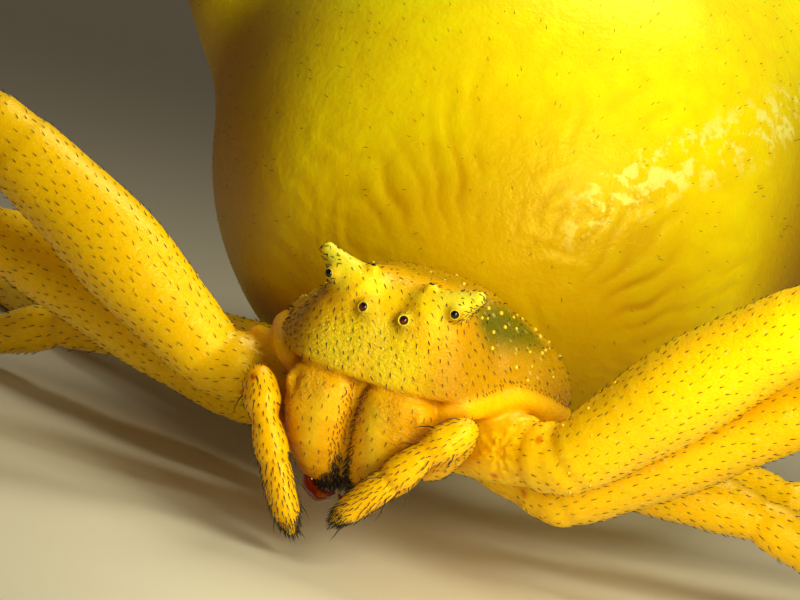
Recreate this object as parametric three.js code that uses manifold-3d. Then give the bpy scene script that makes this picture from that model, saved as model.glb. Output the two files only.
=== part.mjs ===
// A crab spider at life size, in a still pose: a gravid female with horned eye tubercles.
// Units are millimetres, +Z is up and the floor is z = 0. The spider faces -Y and its left is +X.
// Every place is first given in the head's own frame: its origin is midway between the two front
// middle eyes, x points to the spider's left, y backwards and z up.
import * as THREE from "three";
import { mergeVertices } from "three/addons/utils/BufferGeometryUtils.js";
import Module from "manifold-3d";

const wasm = await Module();
wasm.setup();

// Driving dimensions
const EYE_HEIGHT = 2.9; // front middle eyes above the floor
const GAP = 0.2; // between one segment of a limb and the next
const FLAT_DEPTH = 0.04; // how far a foot or the belly is pressed flat on the floor
const FLOOR = -EYE_HEIGHT;

// Colours of the living animal, by part
const YELLOW = new THREE.MeshStandardMaterial({ color: "#f2c80c", roughness: 0.42, metalness: 0 });
const LEG_YELLOW = new THREE.MeshStandardMaterial({ color: "#eebb14", roughness: 0.4, metalness: 0 });
const BELLY_YELLOW = new THREE.MeshStandardMaterial({ color: "#f7dd0a", roughness: 0.36, metalness: 0 });
const FANG_RED = new THREE.MeshStandardMaterial({ color: "#5a0f08", roughness: 0.15, metalness: 0 });
const EYE_DARK = new THREE.MeshStandardMaterial({ color: "#1c0505", roughness: 0.05, metalness: 0 });

const body = new THREE.Group();
const v = (x, y, z) => new THREE.Vector3(x, y, z);

// Solids from three.js geometry, and back
function solidOf(geometry) {
  const bare = geometry.index ? geometry.toNonIndexed() : geometry.clone();
  for (const name of Object.keys(bare.attributes)) if (name !== "position") bare.deleteAttribute(name);
  const merged = mergeVertices(bare, 1e-4);
  const kept = [];
  const index = merged.index.array;
  for (let i = 0; i < index.length; i += 3) {
    const [a, b, c] = [index[i], index[i + 1], index[i + 2]];
    if (a !== b && b !== c && c !== a) kept.push(a, b, c);
  }
  const make = (triVerts) =>
    new wasm.Manifold(
      new wasm.Mesh({ numProp: 3, vertProperties: merged.attributes.position.array, triVerts }),
    );
  const solid = make(new Uint32Array(kept));
  return solid.volume() > 0 ? solid : make(new Uint32Array(kept.reverse()));
}

function geometryOf(solid) {
  const mesh = solid.getMesh();
  const points = new Float32Array(mesh.numVert * 3);
  for (let i = 0; i < mesh.numVert; i++)
    points.set(mesh.vertProperties.subarray(i * mesh.numProp, i * mesh.numProp + 3), i * 3);
  return new THREE.BufferGeometry()
    .setAttribute("position", new THREE.BufferAttribute(points, 3))
    .setIndex(new THREE.BufferAttribute(mesh.triVerts, 1));
}

const union = (...solids) => solids.reduce((all, one) => all.add(one));

const largest = (solid) => solid.decompose().reduce((a, b) => (a.volume() > b.volume() ? a : b));

function addNode(name, solid, material) {
  const mesh = new THREE.Mesh(geometryOf(largest(solid)), material);
  mesh.name = name;
  body.add(mesh);
  return mesh;
}

// Rounded forms, given as fields that are negative inside
function ellipsoid(p, centre, radii) {
  const q = p.clone().sub(centre);
  const scaled = q.clone().divide(radii);
  const k0 = scaled.length();
  const k1 = scaled.divide(radii).length();
  return k1 < 1e-9 ? -Math.min(radii.x, radii.y, radii.z) : (k0 * (k0 - 1)) / k1;
}

// As an ellipsoid, but boxier as squareness rises above 2
function superEllipsoid(p, centre, radii, squareness) {
  const q = p.clone().sub(centre).divide(radii);
  const sum = Math.abs(q.x) ** squareness + Math.abs(q.y) ** squareness + Math.abs(q.z) ** squareness;
  return (sum ** (1 / squareness) - 1) * Math.min(radii.x, radii.y, radii.z);
}

function softUnion(a, b, width) {
  const h = Math.max(width - Math.abs(a - b), 0) / width;
  return Math.min(a, b) - (h * h * width) / 4;
}

const softCut = (a, b, width) => -softUnion(-a, -b, width);

const smoothStep = (from, to, x) => THREE.MathUtils.smoothstep(x, from, to);

// An icosahedron's points, moved out from its centre to where the field is zero
function fieldSolid(centre, reach, detail, field) {
  const geometry = new THREE.IcosahedronGeometry(1, detail);
  const at = geometry.attributes.position;
  const direction = v(0, 0, 0);
  const steps = 30;
  for (let i = 0; i < at.count; i++) {
    direction.fromBufferAttribute(at, i).normalize();
    let inside = 0;
    let outside = reach;
    for (let s = 0; s < steps; s++) {
      const middle = (inside + outside) / 2;
      if (field(direction.clone().multiplyScalar(middle).add(centre)) < 0) inside = middle;
      else outside = middle;
    }
    const hit = direction.clone().multiplyScalar(inside).add(centre);
    at.setXYZ(i, hit.x, hit.y, hit.z);
  }
  return solidOf(geometry);
}

// The closed surface where a field is zero, as quads between the cells of a grid whose planes lie at
// the given places along x, y and z. Its points are then drawn onto the surface along its gradient
function netSolid(xs, ys, zs, field) {
  const key = (i, j, k) => (i * ys.length + j) * zs.length + k;
  const level = new Float64Array(xs.length * ys.length * zs.length);
  for (let i = 0; i < xs.length; i++)
    for (let j = 0; j < ys.length; j++)
      for (let k = 0; k < zs.length; k++) level[key(i, j, k)] = field(v(xs[i], ys[j], zs[k])) || 1e-9;
  const place = [xs, ys, zs];
  const points = [];
  const pointOf = new Map();
  const pointIn = (cell) => {
    const id = key(...cell);
    if (pointOf.has(id)) return pointOf.get(id);
    const sum = [0, 0, 0];
    let crossings = 0;
    for (let axis = 0; axis < 3; axis++)
      for (let a = 0; a < 2; a++)
        for (let b = 0; b < 2; b++) {
          const from = [...cell];
          from[(axis + 1) % 3] += a;
          from[(axis + 2) % 3] += b;
          const to = [...from];
          to[axis] += 1;
          const [f0, f1] = [level[key(...from)], level[key(...to)]];
          if (f0 < 0 === f1 < 0) continue;
          crossings += 1;
          for (let c = 0; c < 3; c++) {
            const start = place[c][from[c]];
            sum[c] += start + ((place[c][to[c]] - start) * f0) / (f0 - f1);
          }
        }
    points.push(v(...sum).divideScalar(crossings));
    pointOf.set(id, points.length - 1);
    return points.length - 1;
  };
  const triangles = [];
  for (let axis = 0; axis < 3; axis++) {
    const [u, w] = [(axis + 1) % 3, (axis + 2) % 3];
    for (let i = 1; i < xs.length - 1; i++)
      for (let j = 1; j < ys.length - 1; j++)
        for (let k = 1; k < zs.length - 1; k++) {
          const from = [i, j, k];
          const to = [...from];
          to[axis] += 1;
          const enters = level[key(...to)] < 0;
          if (level[key(...from)] < 0 === enters) continue;
          const ring = [[0, 0], [1, 0], [1, 1], [0, 1]].map(([a, b]) => {
            const cell = [...from];
            cell[u] -= a;
            cell[w] -= b;
            return pointIn(cell);
          });
          if (enters) ring.reverse();
          triangles.push(ring[0], ring[1], ring[2], ring[0], ring[2], ring[3]);
        }
  }
  const step = 1e-3;
  for (const point of points)
    for (let round = 0; round < 3; round++) {
      const here = field(point);
      const slope = v(
        field(point.clone().add(v(step, 0, 0))) - here,
        field(point.clone().add(v(0, step, 0))) - here,
        field(point.clone().add(v(0, 0, step))) - here,
      ).divideScalar(step);
      point.addScaledVector(slope, -here / Math.max(slope.lengthSq(), 0.25));
    }
  const vertProperties = new Float32Array(points.flatMap((point) => point.toArray()));
  return new wasm.Manifold(
    new wasm.Mesh({ numProp: 3, vertProperties, triVerts: new Uint32Array(triangles) }),
  );
}

// Grid planes from one place to another, whose spacing changes evenly
function planes(from, to, firstStep, lastStep) {
  const places = [from];
  while (places.at(-1) < to) {
    const share = (places.at(-1) - from) / (to - from);
    places.push(places.at(-1) + firstStep + (lastStep - firstStep) * share);
  }
  return places;
}

// A lathe of the radii [share of the length, radius], bent along a path. flat is its depth over its
// width: width is measured level, and depth square to the path
function limbSolid(path, radii, { sides = 8, rings = 6, flat = 1, start = 0, end = 0 } = {}) {
  const whole = path.getLength();
  const from = start / whole;
  const to = 1 - end / whole;
  const profile = [new THREE.Vector2(0, from)];
  const shareAt = radii.map(([share]) => share);
  for (let i = 0; i <= rings; i++) {
    const t = shareAt[0] + ((shareAt.at(-1) - shareAt[0]) * i) / rings;
    profile.push(new THREE.Vector2(radiusAt(radii, t), from + (to - from) * t));
  }
  profile.push(new THREE.Vector2(0, to));
  const geometry = new THREE.LatheGeometry(profile, sides);
  const at = geometry.attributes.position;
  for (let i = 0; i < at.count; i++) {
    const t = THREE.MathUtils.clamp(at.getY(i), 0, 1);
    const centre = path.getPointAt(t);
    const ahead = path.getTangentAt(t);
    const across = v(0, 0, 1).cross(ahead).normalize();
    const over = across.clone().cross(ahead);
    centre.addScaledVector(across, at.getX(i)).addScaledVector(over, at.getZ(i) * flat);
    at.setXYZ(i, centre.x, centre.y, centre.z);
  }
  return solidOf(geometry);
}

function radiusAt(radii, share) {
  const next = radii.findIndex(([s]) => s >= share);
  if (next <= 0) return radii[0][1];
  const [s0, r0] = radii[next - 1];
  const [s1, r1] = radii[next];
  const k = smoothStep(s0, s1, share);
  return r0 + (r1 - r0) * k;
}

const line = (...points) => new THREE.CatmullRomCurve3(points, false, "centripetal");

const floorSlab = solidOf(new THREE.BoxGeometry(60, 60, 4).translate(0, 0, FLOOR - 2));

// Prosoma: the carapace with the head in front and an eye horn at each side, over the core that the
// legs grow from
const FACE_NORMAL = v(0, -0.827, 0.562).normalize(); // the face leans back towards the eyes
const FACE_LEVEL = -0.055;
const CROWN_NORMAL = v(0, 0.11, 0.994).normalize(); // the crown falls away behind the eyes
const CROWN_LEVEL = 0.46;
const THORAX = { centre: v(0, 1.62, -0.87), radii: v(1.73, 1.72, 0.93) };
const HEAD = { centre: v(0, 0.85, -0.55), radii: v(0.95, 1.25, 1.14), squareness: 2.6 };
const CHEEKS = { from: 0.3, to: -0.75, widening: 0.25 }; // the head widens from the eyes to the lip
const CORE = { centre: v(0, 1.8, -1.05), radii: v(0.6, 1.3, 0.48) };
const LIP_LEVEL = -0.79; // of the edge over the chelicerae

function headField(p) {
  const widening = 1 + CHEEKS.widening * (1 - smoothStep(CHEEKS.to, CHEEKS.from, p.z));
  const box = superEllipsoid(v(p.x / widening, p.y, p.z), HEAD.centre, HEAD.radii, HEAD.squareness);
  const crowned = softCut(box, p.dot(CROWN_NORMAL) - CROWN_LEVEL, 0.3);
  return softCut(crowned, p.dot(FACE_NORMAL) - FACE_LEVEL, 0.25);
}

// Level of the carapace's rim, which arches over the first leg and drops behind it
const rimLevel = (y) => LIP_LEVEL + 0.24 * smoothStep(0.15, 0.7, y) - 0.38 * smoothStep(0.7, 2.3, y);

const HORN = { root: v(0.46, 0.3, 0.1), tip: v(0.93, 0.29, 0.43), rootRadius: 0.28, tipRadius: 0.09 };

function hornField(p) {
  const q = v(Math.abs(p.x), p.y, p.z);
  const axis = HORN.tip.clone().sub(HORN.root);
  const t = THREE.MathUtils.clamp(q.clone().sub(HORN.root).dot(axis) / axis.lengthSq(), 0, 1);
  const radius = HORN.rootRadius + (HORN.tipRadius - HORN.rootRadius) * t;
  return q.distanceTo(HORN.root.clone().addScaledVector(axis, t)) - radius;
}

// The eight eyes: a name, the place of the left one, its radius and the way it looks
const EYES = [
  { name: "eye_front_middle", at: v(0.246, 0, 0), radius: 0.055, look: v(0.15, -0.95, 0.25) },
  { name: "eye_front_side", at: v(0.767, 0.116, 0.23), radius: 0.05, look: v(0.3, -0.95, -0.05) },
  { name: "eye_back_middle", at: v(0.367, 0.282, 0.442), radius: 0.04, look: v(0.1, -0.1, 1) },
  { name: "eye_back_side", at: v(0.88, 0.44, 0.34), radius: 0.045, look: v(0.4, 0.9, 0.15) },
];
const EYE_CLEARANCE = 0.03; // round an eyeball in its socket
const EYE_MOUND = 1.7; // radius of the swelling round an eye over that of the eye

function carapaceField(p) {
  const thorax = ellipsoid(p, THORAX.centre, THORAX.radii);
  const shell = softUnion(thorax, softUnion(headField(p), hornField(p), 0.22), 0.4);
  const rimmed = softCut(shell, rimLevel(p.y) - p.z, 0.28);
  return softUnion(rimmed, ellipsoid(p, CORE.centre, CORE.radii), 0.12);
}

// Where a line of sight leaves the carapace
function seatOf(eye) {
  const look = eye.look.clone().normalize();
  let [inside, outside] = [-0.4, 0.4];
  for (let s = 0; s < 30; s++) {
    const middle = (inside + outside) / 2;
    if (carapaceField(eye.at.clone().addScaledVector(look, middle)) < 0) inside = middle;
    else outside = middle;
  }
  return eye.at.clone().addScaledVector(look, inside);
}

for (const eye of EYES) eye.seat = seatOf(eye);

function moundedField(p) {
  const q = v(Math.abs(p.x), p.y, p.z);
  let field = carapaceField(p);
  for (const eye of EYES)
    if (q.distanceTo(eye.seat) < 0.4)
      field = softUnion(field, q.distanceTo(eye.seat) - eye.radius * EYE_MOUND, 0.08);
  return field;
}

const sphere = (centre, radius, width, height) =>
  solidOf(new THREE.SphereGeometry(radius, width, height).translate(centre.x, centre.y, centre.z));

const eyeballs = [];
for (const eye of EYES)
  for (const [side, word] of [[1, "left"], [-1, "right"]]) {
    const out = eye.look.clone().normalize().multiplyScalar(eye.radius * EYE_MOUND * 0.6);
    const at = eye.seat.clone().add(out);
    at.x *= side;
    eyeballs.push({ name: `${eye.name}_${word}`, at, radius: eye.radius });
  }

let carapace = netSolid(
  planes(-1.95, 1.95, 0.11, 0.11),
  planes(-0.5, 3.7, 0.09, 0.23),
  planes(-1.75, 0.75, 0.2, 0.078),
  moundedField,
);
for (const { at, radius } of eyeballs) carapace = carapace.subtract(sphere(at, radius + EYE_CLEARANCE, 8, 6));
addNode("carapace", carapace, YELLOW);
for (const { name, at, radius } of eyeballs) addNode(name, sphere(at, radius, 10, 7), EYE_DARK);

// Underside: breastplate and mouthparts
const STERNUM = { centre: v(0, 1.86, -1.82), radii: v(0.66, 1.0, 0.19) };
addNode(
  "sternum",
  fieldSolid(STERNUM.centre, 3, 3, (p) => {
    const narrowing = 1 + 0.35 * smoothStep(0.8, 2.6, p.y); // heart-shaped, with its point behind
    return ellipsoid(v(p.x * narrowing, p.y, p.z), STERNUM.centre, STERNUM.radii);
  }),
  YELLOW,
);
addNode("labium", limbSolid(line(v(0, 0.66, -1.66), v(0, 0.58, -1.88), v(0, 0.5, -2.05)),
  [[0, 0.12], [0.5, 0.13], [1, 0.07]], { sides: 8, rings: 4 }), YELLOW);

// A limb's two sides differ only by the sign of x
for (const [side, word] of [[1, "left"], [-1, "right"]]) {
  addNode(`maxilla_${word}`, limbSolid(
    line(v(side * 0.54, 0.72, -1.66), v(side * 0.44, 0.62, -1.9), v(side * 0.32, 0.56, -2.08)),
    [[0, 0.13], [0.4, 0.17], [0.8, 0.15], [1, 0.08]], { sides: 8, rings: 5 }), YELLOW);

  const cheliceraPath = line(
    v(side * 0.48, 0.0, -0.92), v(side * 0.47, -0.03, -1.3), v(side * 0.34, 0.07, -2.01));
  addNode(`chelicera_${word}`, limbSolid(cheliceraPath,
    [[0, 0.3], [0.15, 0.41], [0.5, 0.385], [0.82, 0.29], [1, 0.14]],
    { sides: 14, rings: 10 }), YELLOW);

  const fangPath = line(
    v(side * 0.37, -0.04, -2.13), v(side * 0.33, -0.12, -2.2), v(side * 0.19, -0.17, -2.24), v(side * 0.06, -0.16, -2.2));
  addNode(`fang_${word}`, limbSolid(fangPath,
    [[0, 0.1], [0.35, 0.085], [0.75, 0.05], [1, 0.02]], { sides: 8, rings: 6 }), FANG_RED);
}

// Palps: from beside the mouth up to the knee, then down in front of the chelicerae
const PALPS = [
  { word: "left", hip: v(0.82, 0.42, -1.62), mid: v(1.16, 0.1, -1.22), knee: v(1.34, -0.28, -0.92), tip: v(0.22, -0.6, -2.27) },
  { word: "right", hip: v(-0.86, 0.46, -1.84), mid: v(-1.12, 0.12, -1.5), knee: v(-1.15, -0.32, -1.08), tip: v(-0.3, -0.48, -2.57) },
];
const PALP_SHARES = { tibiaEnd: 0.53 }; // of the way from knee to tip
for (const { word, hip, mid, knee, tip } of PALPS) {
  addNode(`palp_${word}_femur`, limbSolid(line(hip, mid, knee), [[0, 0.12], [0.5, 0.17], [1, 0.13]],
    { sides: 8, rings: 4, end: GAP * 1.5 }), LEG_YELLOW);
  const wrist = knee.clone().lerp(tip, PALP_SHARES.tibiaEnd).add(v(0, -0.08, 0.02));
  const middle = knee.clone().lerp(wrist, 0.5).add(v(0, -0.06, 0.03));
  addNode(`palp_${word}_tibia`, limbSolid(line(knee, middle, wrist),
    [[0, 0.15], [0.18, 0.215], [0.4, 0.2], [0.5, 0.17], [0.78, 0.2], [1, 0.155]],
    { sides: 10, rings: 8, end: GAP / 2 }), LEG_YELLOW);
  addNode(`palp_${word}_tarsus`, limbSolid(line(wrist, wrist.clone().lerp(tip, 0.5).add(v(0, -0.02, 0)), tip),
    [[0, 0.15], [0.2, 0.185], [0.65, 0.17], [0.92, 0.1], [1, 0.05]],
    { sides: 10, rings: 7, start: GAP / 2 }), LEG_YELLOW);
}

// Legs: root and hip are the ends of the coxa with its trochanter. Each later segment has a length, the
// angle that it swings forwards from straight out sideways, and the angle that it rises
const FRONT_LENGTHS = { femur: 3.9, patella: 1.6, tibia: 2.5, metatarsus: 2.2, tarsus: 1.1 };
const SECOND_LENGTHS = { femur: 3.6, patella: 1.5, tibia: 2.4, metatarsus: 2.1, tarsus: 1.1 };
const THIRD_LENGTHS = { femur: 2.1, patella: 1.0, tibia: 1.3, metatarsus: 1.0, tarsus: 0.7 };
const FOURTH_LENGTHS = { femur: 2.4, patella: 1.0, tibia: 1.5, metatarsus: 1.2, tarsus: 0.75 };
const LEGS = [
  { word: "left_1", side: 1, lengths: FRONT_LENGTHS, girth: 1, root: v(0.84, 0.92, -1.36), hip: v(2.38, 0.45, -1.04),
    femur: [3, 45], patella: [22, 2], tibia: [42, -50], foot: 60 },
  { word: "left_2", side: 1, lengths: SECOND_LENGTHS, girth: 0.94, root: v(0.8, 1.62, -1.5), hip: v(2.1, 1.36, -1.68),
    femur: [-3, 36], patella: [8, 0], tibia: [24, -44], foot: 40 },
  { word: "left_3", side: 1, lengths: THIRD_LENGTHS, girth: 0.7, root: v(0.78, 2.2, -1.36), hip: v(1.9, 2.3, -1.5),
    femur: [-12, -2], patella: [-14, -16], tibia: [-16, -44], foot: -20 },
  { word: "left_4", side: 1, lengths: FOURTH_LENGTHS, girth: 0.7, root: v(0.6, 2.78, -1.36), hip: v(1.65, 3.1, -1.56),
    femur: [-34, -4], patella: [-36, -10], tibia: [-40, -30], foot: -44 },
  { word: "right_1", side: -1, lengths: FRONT_LENGTHS, girth: 1, root: v(-0.82, 0.92, -1.34), hip: v(-2.075, 0.55, -1.27),
    femur: [8, 31], patella: [26, 2], tibia: [46, -40], foot: 64 },
  { word: "right_2", side: -1, lengths: SECOND_LENGTHS, girth: 0.94, root: v(-0.8, 1.64, -1.38), hip: v(-1.98, 1.5, -1.76),
    femur: [2, 14], patella: [14, 6], tibia: [30, -25], foot: 46 },
  { word: "right_3", side: -1, lengths: THIRD_LENGTHS, girth: 0.7, root: v(-0.78, 2.24, -1.38), hip: v(-1.92, 2.36, -1.78),
    femur: [-10, -2], patella: [-12, -12], tibia: [-14, -26], foot: -18 },
  { word: "right_4", side: -1, lengths: FOURTH_LENGTHS, girth: 0.7, root: v(-0.6, 2.78, -1.38), hip: v(-1.6, 3.08, -1.82),
    femur: [-24, -3], patella: [-26, -6], tibia: [-30, -22], foot: -34 },
];
const FEMUR_ARCH = 0.022; // rise of a femur's middle over its length
const TOE_RADIUS = 0.17;
const TOE_HEIGHT = TOE_RADIUS - FLAT_DEPTH; // the foot's centre above the floor

function heading(side, forwardDeg, riseDeg) {
  const forward = THREE.MathUtils.degToRad(forwardDeg);
  const rise = THREE.MathUtils.degToRad(riseDeg);
  return v(side * Math.cos(rise) * Math.cos(forward), -Math.cos(rise) * Math.sin(forward), Math.sin(rise));
}

// The joints of a leg from its hip to its claws. The metatarsus falls just steeply enough for the
// tarsus, which lies at half its slope, to end on the floor
function legJoints({ side, lengths, hip, femur, patella, tibia, foot }) {
  const knee = hip.clone().addScaledVector(heading(side, ...femur), lengths.femur);
  const shin = knee.clone().addScaledVector(heading(side, ...patella), lengths.patella);
  const ankle = shin.clone().addScaledVector(heading(side, ...tibia), lengths.tibia);
  const fall = ankle.z - (FLOOR + TOE_HEIGHT);
  let [shallow, steep] = [0, 89];
  for (let s = 0; s < 40; s++) {
    const slope = (shallow + steep) / 2;
    const drop =
      lengths.metatarsus * Math.sin(THREE.MathUtils.degToRad(slope)) +
      lengths.tarsus * Math.sin(THREE.MathUtils.degToRad(slope / 2));
    if (drop < fall) shallow = slope;
    else steep = slope;
  }
  const toe = ankle.clone().addScaledVector(heading(side, foot, -shallow), lengths.metatarsus);
  const claw = toe.clone().addScaledVector(heading(side, foot, -shallow / 2), lengths.tarsus);
  return { knee, shin, ankle, toe, claw };
}

// A path through a bend that turns over about the limb's own width
function bentLine(a, bend, b, round) {
  const before = bend.clone().lerp(a, round / bend.distanceTo(a));
  const after = bend.clone().lerp(b, round / bend.distanceTo(b));
  const path = new THREE.CurvePath();
  path.add(new THREE.LineCurve3(a, before));
  path.add(new THREE.QuadraticBezierCurve3(before, bend, after));
  path.add(new THREE.LineCurve3(after, b));
  return path;
}

for (const leg of LEGS) {
  const { knee, shin, ankle, toe, claw } = legJoints(leg);
  const g = leg.girth;
  const hipGap = GAP / 2 + 0.12 * g; // wider, because the leg turns up here
  addNode(`leg_${leg.word}_coxa`, limbSolid(line(leg.root, leg.hip),
    [[0, 0.24 * g], [0.2, 0.34 * g], [0.5, 0.39 * g], [0.68, 0.37 * g], [0.85, 0.4 * g], [1, 0.35 * g]],
    { sides: 10, rings: 7, end: hipGap }), LEG_YELLOW);
  const arch = leg.hip.clone().lerp(knee, 0.5).add(v(0, 0, FEMUR_ARCH * leg.lengths.femur));
  addNode(`leg_${leg.word}_femur`, limbSolid(line(leg.hip, arch, knee),
    [[0, 0.35 * g], [0.1, 0.46 * g], [0.42, 0.555 * g], [0.75, 0.485 * g], [0.93, 0.4 * g], [1, 0.33 * g]],
    { sides: 10, rings: 9, start: GAP / 2, end: GAP * 0.65 }), LEG_YELLOW);
  const patellaShare = leg.lengths.patella / (leg.lengths.patella + leg.lengths.tibia);
  addNode(`leg_${leg.word}_tibia`, limbSolid(bentLine(knee, shin, ankle, 0.5),
    [[0, 0.28 * g], [0.12, 0.42 * g], [patellaShare - 0.05, 0.39 * g], [patellaShare, 0.34 * g],
      [patellaShare + 0.2, 0.4 * g], [0.85, 0.34 * g], [1, 0.3 * g]],
    { sides: 9, rings: 12, start: GAP / 2, end: GAP / 2 }), LEG_YELLOW);
  const footSolid = limbSolid(bentLine(ankle, toe, claw, 0.3),
    [[0, 0.28 * g], [0.1, 0.3 * g], [0.6, 0.25 * g], [0.68, 0.24 * g], [0.85, 0.24 * g], [1, TOE_RADIUS]],
    { sides: 8, rings: 9, start: GAP / 2 });
  addNode(`leg_${leg.word}_foot`, footSolid.subtract(floorSlab), LEG_YELLOW);
}

// Waist and abdomen. The abdomen is swung to the spider's right about the waist
const WAIST = v(0, 3.78, -1.05);
const SWING_DEG = 22;
const PITCH_DEG = 8; // the abdomen is carried with its rear raised
addNode("pedicel", limbSolid(line(v(0, 3.26, -1.22), v(-0.04, 3.68, -1.14)),
  [[0, 0.26], [1, 0.27]], { sides: 8, rings: 3 }), YELLOW);

// Forms of the abdomen in its own frame, with its origin at the waist
const ABDOMEN = {
  centre: v(0, 3.6, 1.3),
  trunk: { centre: v(0, 3.45, 1.02), radii: v(3.7, 3.4, 3.42) },
  front: { centre: v(0, 1.95, 0.8), radii: v(2.75, 1.85, 2.0) },
  shoulders: { centre: v(0, 4.75, 2.0), radii: v(4.1, 1.8, 2.15) },
  rear: { centre: v(0, 5.3, 0.2), radii: v(2.5, 1.75, 1.7) },
  corner: { x: 3.55, y: 5.2, z: 2.5, radius: 0.85 },
};

function abdomenField(p) {
  let field = ellipsoid(p, ABDOMEN.trunk.centre, ABDOMEN.trunk.radii);
  for (const form of [ABDOMEN.front, ABDOMEN.shoulders, ABDOMEN.rear])
    field = softUnion(field, ellipsoid(p, form.centre, form.radii), 0.9);
  const { x, y, z, radius } = ABDOMEN.corner;
  const corner = v(Math.abs(p.x) - x, p.y - y, p.z - z).length() - radius;
  return softUnion(field, corner, 1.1);
}

const abdomenFrame = new THREE.Matrix4()
  .makeRotationZ(THREE.MathUtils.degToRad(SWING_DEG))
  .multiply(new THREE.Matrix4().makeRotationX(THREE.MathUtils.degToRad(PITCH_DEG)))
  .setPosition(WAIST);
const abdomenShape = geometryOf(fieldSolid(ABDOMEN.centre, 8, 10, abdomenField)).applyMatrix4(abdomenFrame);
addNode("abdomen", solidOf(abdomenShape).subtract(floorSlab), BELLY_YELLOW); // the belly rests on the floor

// Spinnerets: a short ring of blunt cones on the abdomen's rear, which face back and a little down
const SPINNERETS = { from: v(0, 4.2, 0.4), toward: v(0, 0.97, -0.24), length: 0.48, spread: 0.15, rootRadius: 0.18 };
let rearSurface = 0;
while (abdomenField(SPINNERETS.from.clone().addScaledVector(SPINNERETS.toward, rearSurface)) < 0)
  rearSurface += 0.01;
const spinnerets = [[-1, 0.8], [1, 0.8], [-0.9, -0.8], [0.9, -0.8]].map(([x, z]) => {
  const root = SPINNERETS.from.clone().addScaledVector(SPINNERETS.toward, rearSurface + GAP * 0.7);
  const tip = root.clone().addScaledVector(SPINNERETS.toward, SPINNERETS.length);
  const spread = SPINNERETS.spread;
  return limbSolid(
    line(root.add(v(x * spread * 0.7, 0, z * spread * 0.7)), tip.add(v(x * spread, 0, z * spread))),
    [[0, SPINNERETS.rootRadius], [0.6, 0.14], [1, 0.07]], { sides: 8, rings: 3 });
});
addNode("spinnerets", solidOf(geometryOf(union(...spinnerets)).applyMatrix4(abdomenFrame)), YELLOW);

// The part's origin is on the floor under the middle of its outline
const outline = new THREE.Box3().setFromObject(body);
const middle = outline.getCenter(v(0, 0, 0));
body.position.set(-middle.x, -middle.y, EYE_HEIGHT);
const part = new THREE.Group();
part.add(body);

export default part;
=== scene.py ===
"""Crab spider: one skin, eyes, fangs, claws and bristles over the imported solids.

Lengths in the tables are millimetres in the head's own frame, whose origin is midway between the two
front middle eyes: x to the spider's left, y backwards, z up. The scene itself is in metres.
"""

import math
from collections import namedtuple

import bmesh
import bpy
import numpy as np
from mathutils import Matrix, Vector, noise


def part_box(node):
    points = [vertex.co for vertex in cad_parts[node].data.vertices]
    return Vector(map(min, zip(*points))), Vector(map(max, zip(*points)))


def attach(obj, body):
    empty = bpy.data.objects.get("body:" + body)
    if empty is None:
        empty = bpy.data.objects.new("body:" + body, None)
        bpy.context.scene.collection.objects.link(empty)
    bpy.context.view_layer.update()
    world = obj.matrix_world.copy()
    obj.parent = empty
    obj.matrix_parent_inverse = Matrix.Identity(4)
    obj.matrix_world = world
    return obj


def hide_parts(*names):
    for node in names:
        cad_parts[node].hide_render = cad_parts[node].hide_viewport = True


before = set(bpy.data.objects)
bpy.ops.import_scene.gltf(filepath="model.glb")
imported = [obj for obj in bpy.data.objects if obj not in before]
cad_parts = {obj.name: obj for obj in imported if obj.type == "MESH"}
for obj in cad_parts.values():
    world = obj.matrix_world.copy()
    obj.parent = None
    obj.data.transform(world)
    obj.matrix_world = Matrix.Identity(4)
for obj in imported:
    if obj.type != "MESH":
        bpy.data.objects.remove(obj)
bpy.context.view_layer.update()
COARSENESS = 1.0  # of the skin's grid
COAT_SHARE = 1.0  # of the bristles and granules
MM = 0.001
SIDES = ((1, "left"), (-1, "right"))
random = np.random.default_rng(11)


def v3(x, y, z):
    return np.array([x, y, z], float)


def unit(a):
    a = np.asarray(a, float)
    return a / np.maximum(np.linalg.norm(a, axis=-1, keepdims=True), 1e-12)


def mirrored(p):
    q = p.copy()
    q[..., 0] = np.abs(q[..., 0])
    return q


def smooth_step(a, b, x):
    t = np.clip((x - a) / (b - a), 0, 1)
    return t * t * (3 - 2 * t)


def bell(distance, width):
    """1 at no distance, falling to 0 as a bell of that width."""
    return np.exp(-(distance / width) ** 2)


# Fields are negative inside
def ellipsoid(p, centre, radii):
    q = (p - centre) / radii
    k0 = np.sqrt((q * q).sum(-1))
    q = q / radii
    k1 = np.sqrt((q * q).sum(-1))
    return k0 * (k0 - 1) / np.maximum(k1, 1e-9)


def super_ellipsoid(p, centre, radii, squareness):
    q = np.abs((p - centre) / radii) ** squareness
    return (q.sum(-1) ** (1 / squareness) - 1) * min(radii)


def soft_union(a, b, width):
    h = np.maximum(width - np.abs(a - b), 0) / width
    return np.minimum(a, b) - h * h * width / 4


def soft_cut(a, b, width):
    return -soft_union(-a, -b, width)


def from_line(p, a, b):
    """Distance from the line between two points, and the share of it at the nearest place."""
    t = np.clip((p - a) @ (b - a) / ((b - a) @ (b - a)), 0, 1)
    return np.linalg.norm(p - a - t[..., None] * (b - a), axis=-1), t


def gradient(field, p, step=2e-3):
    here = field(p)
    slope = np.stack([field(p + step * np.eye(3)[k]) - here for k in range(3)], -1) / step
    return here, slope


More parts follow.
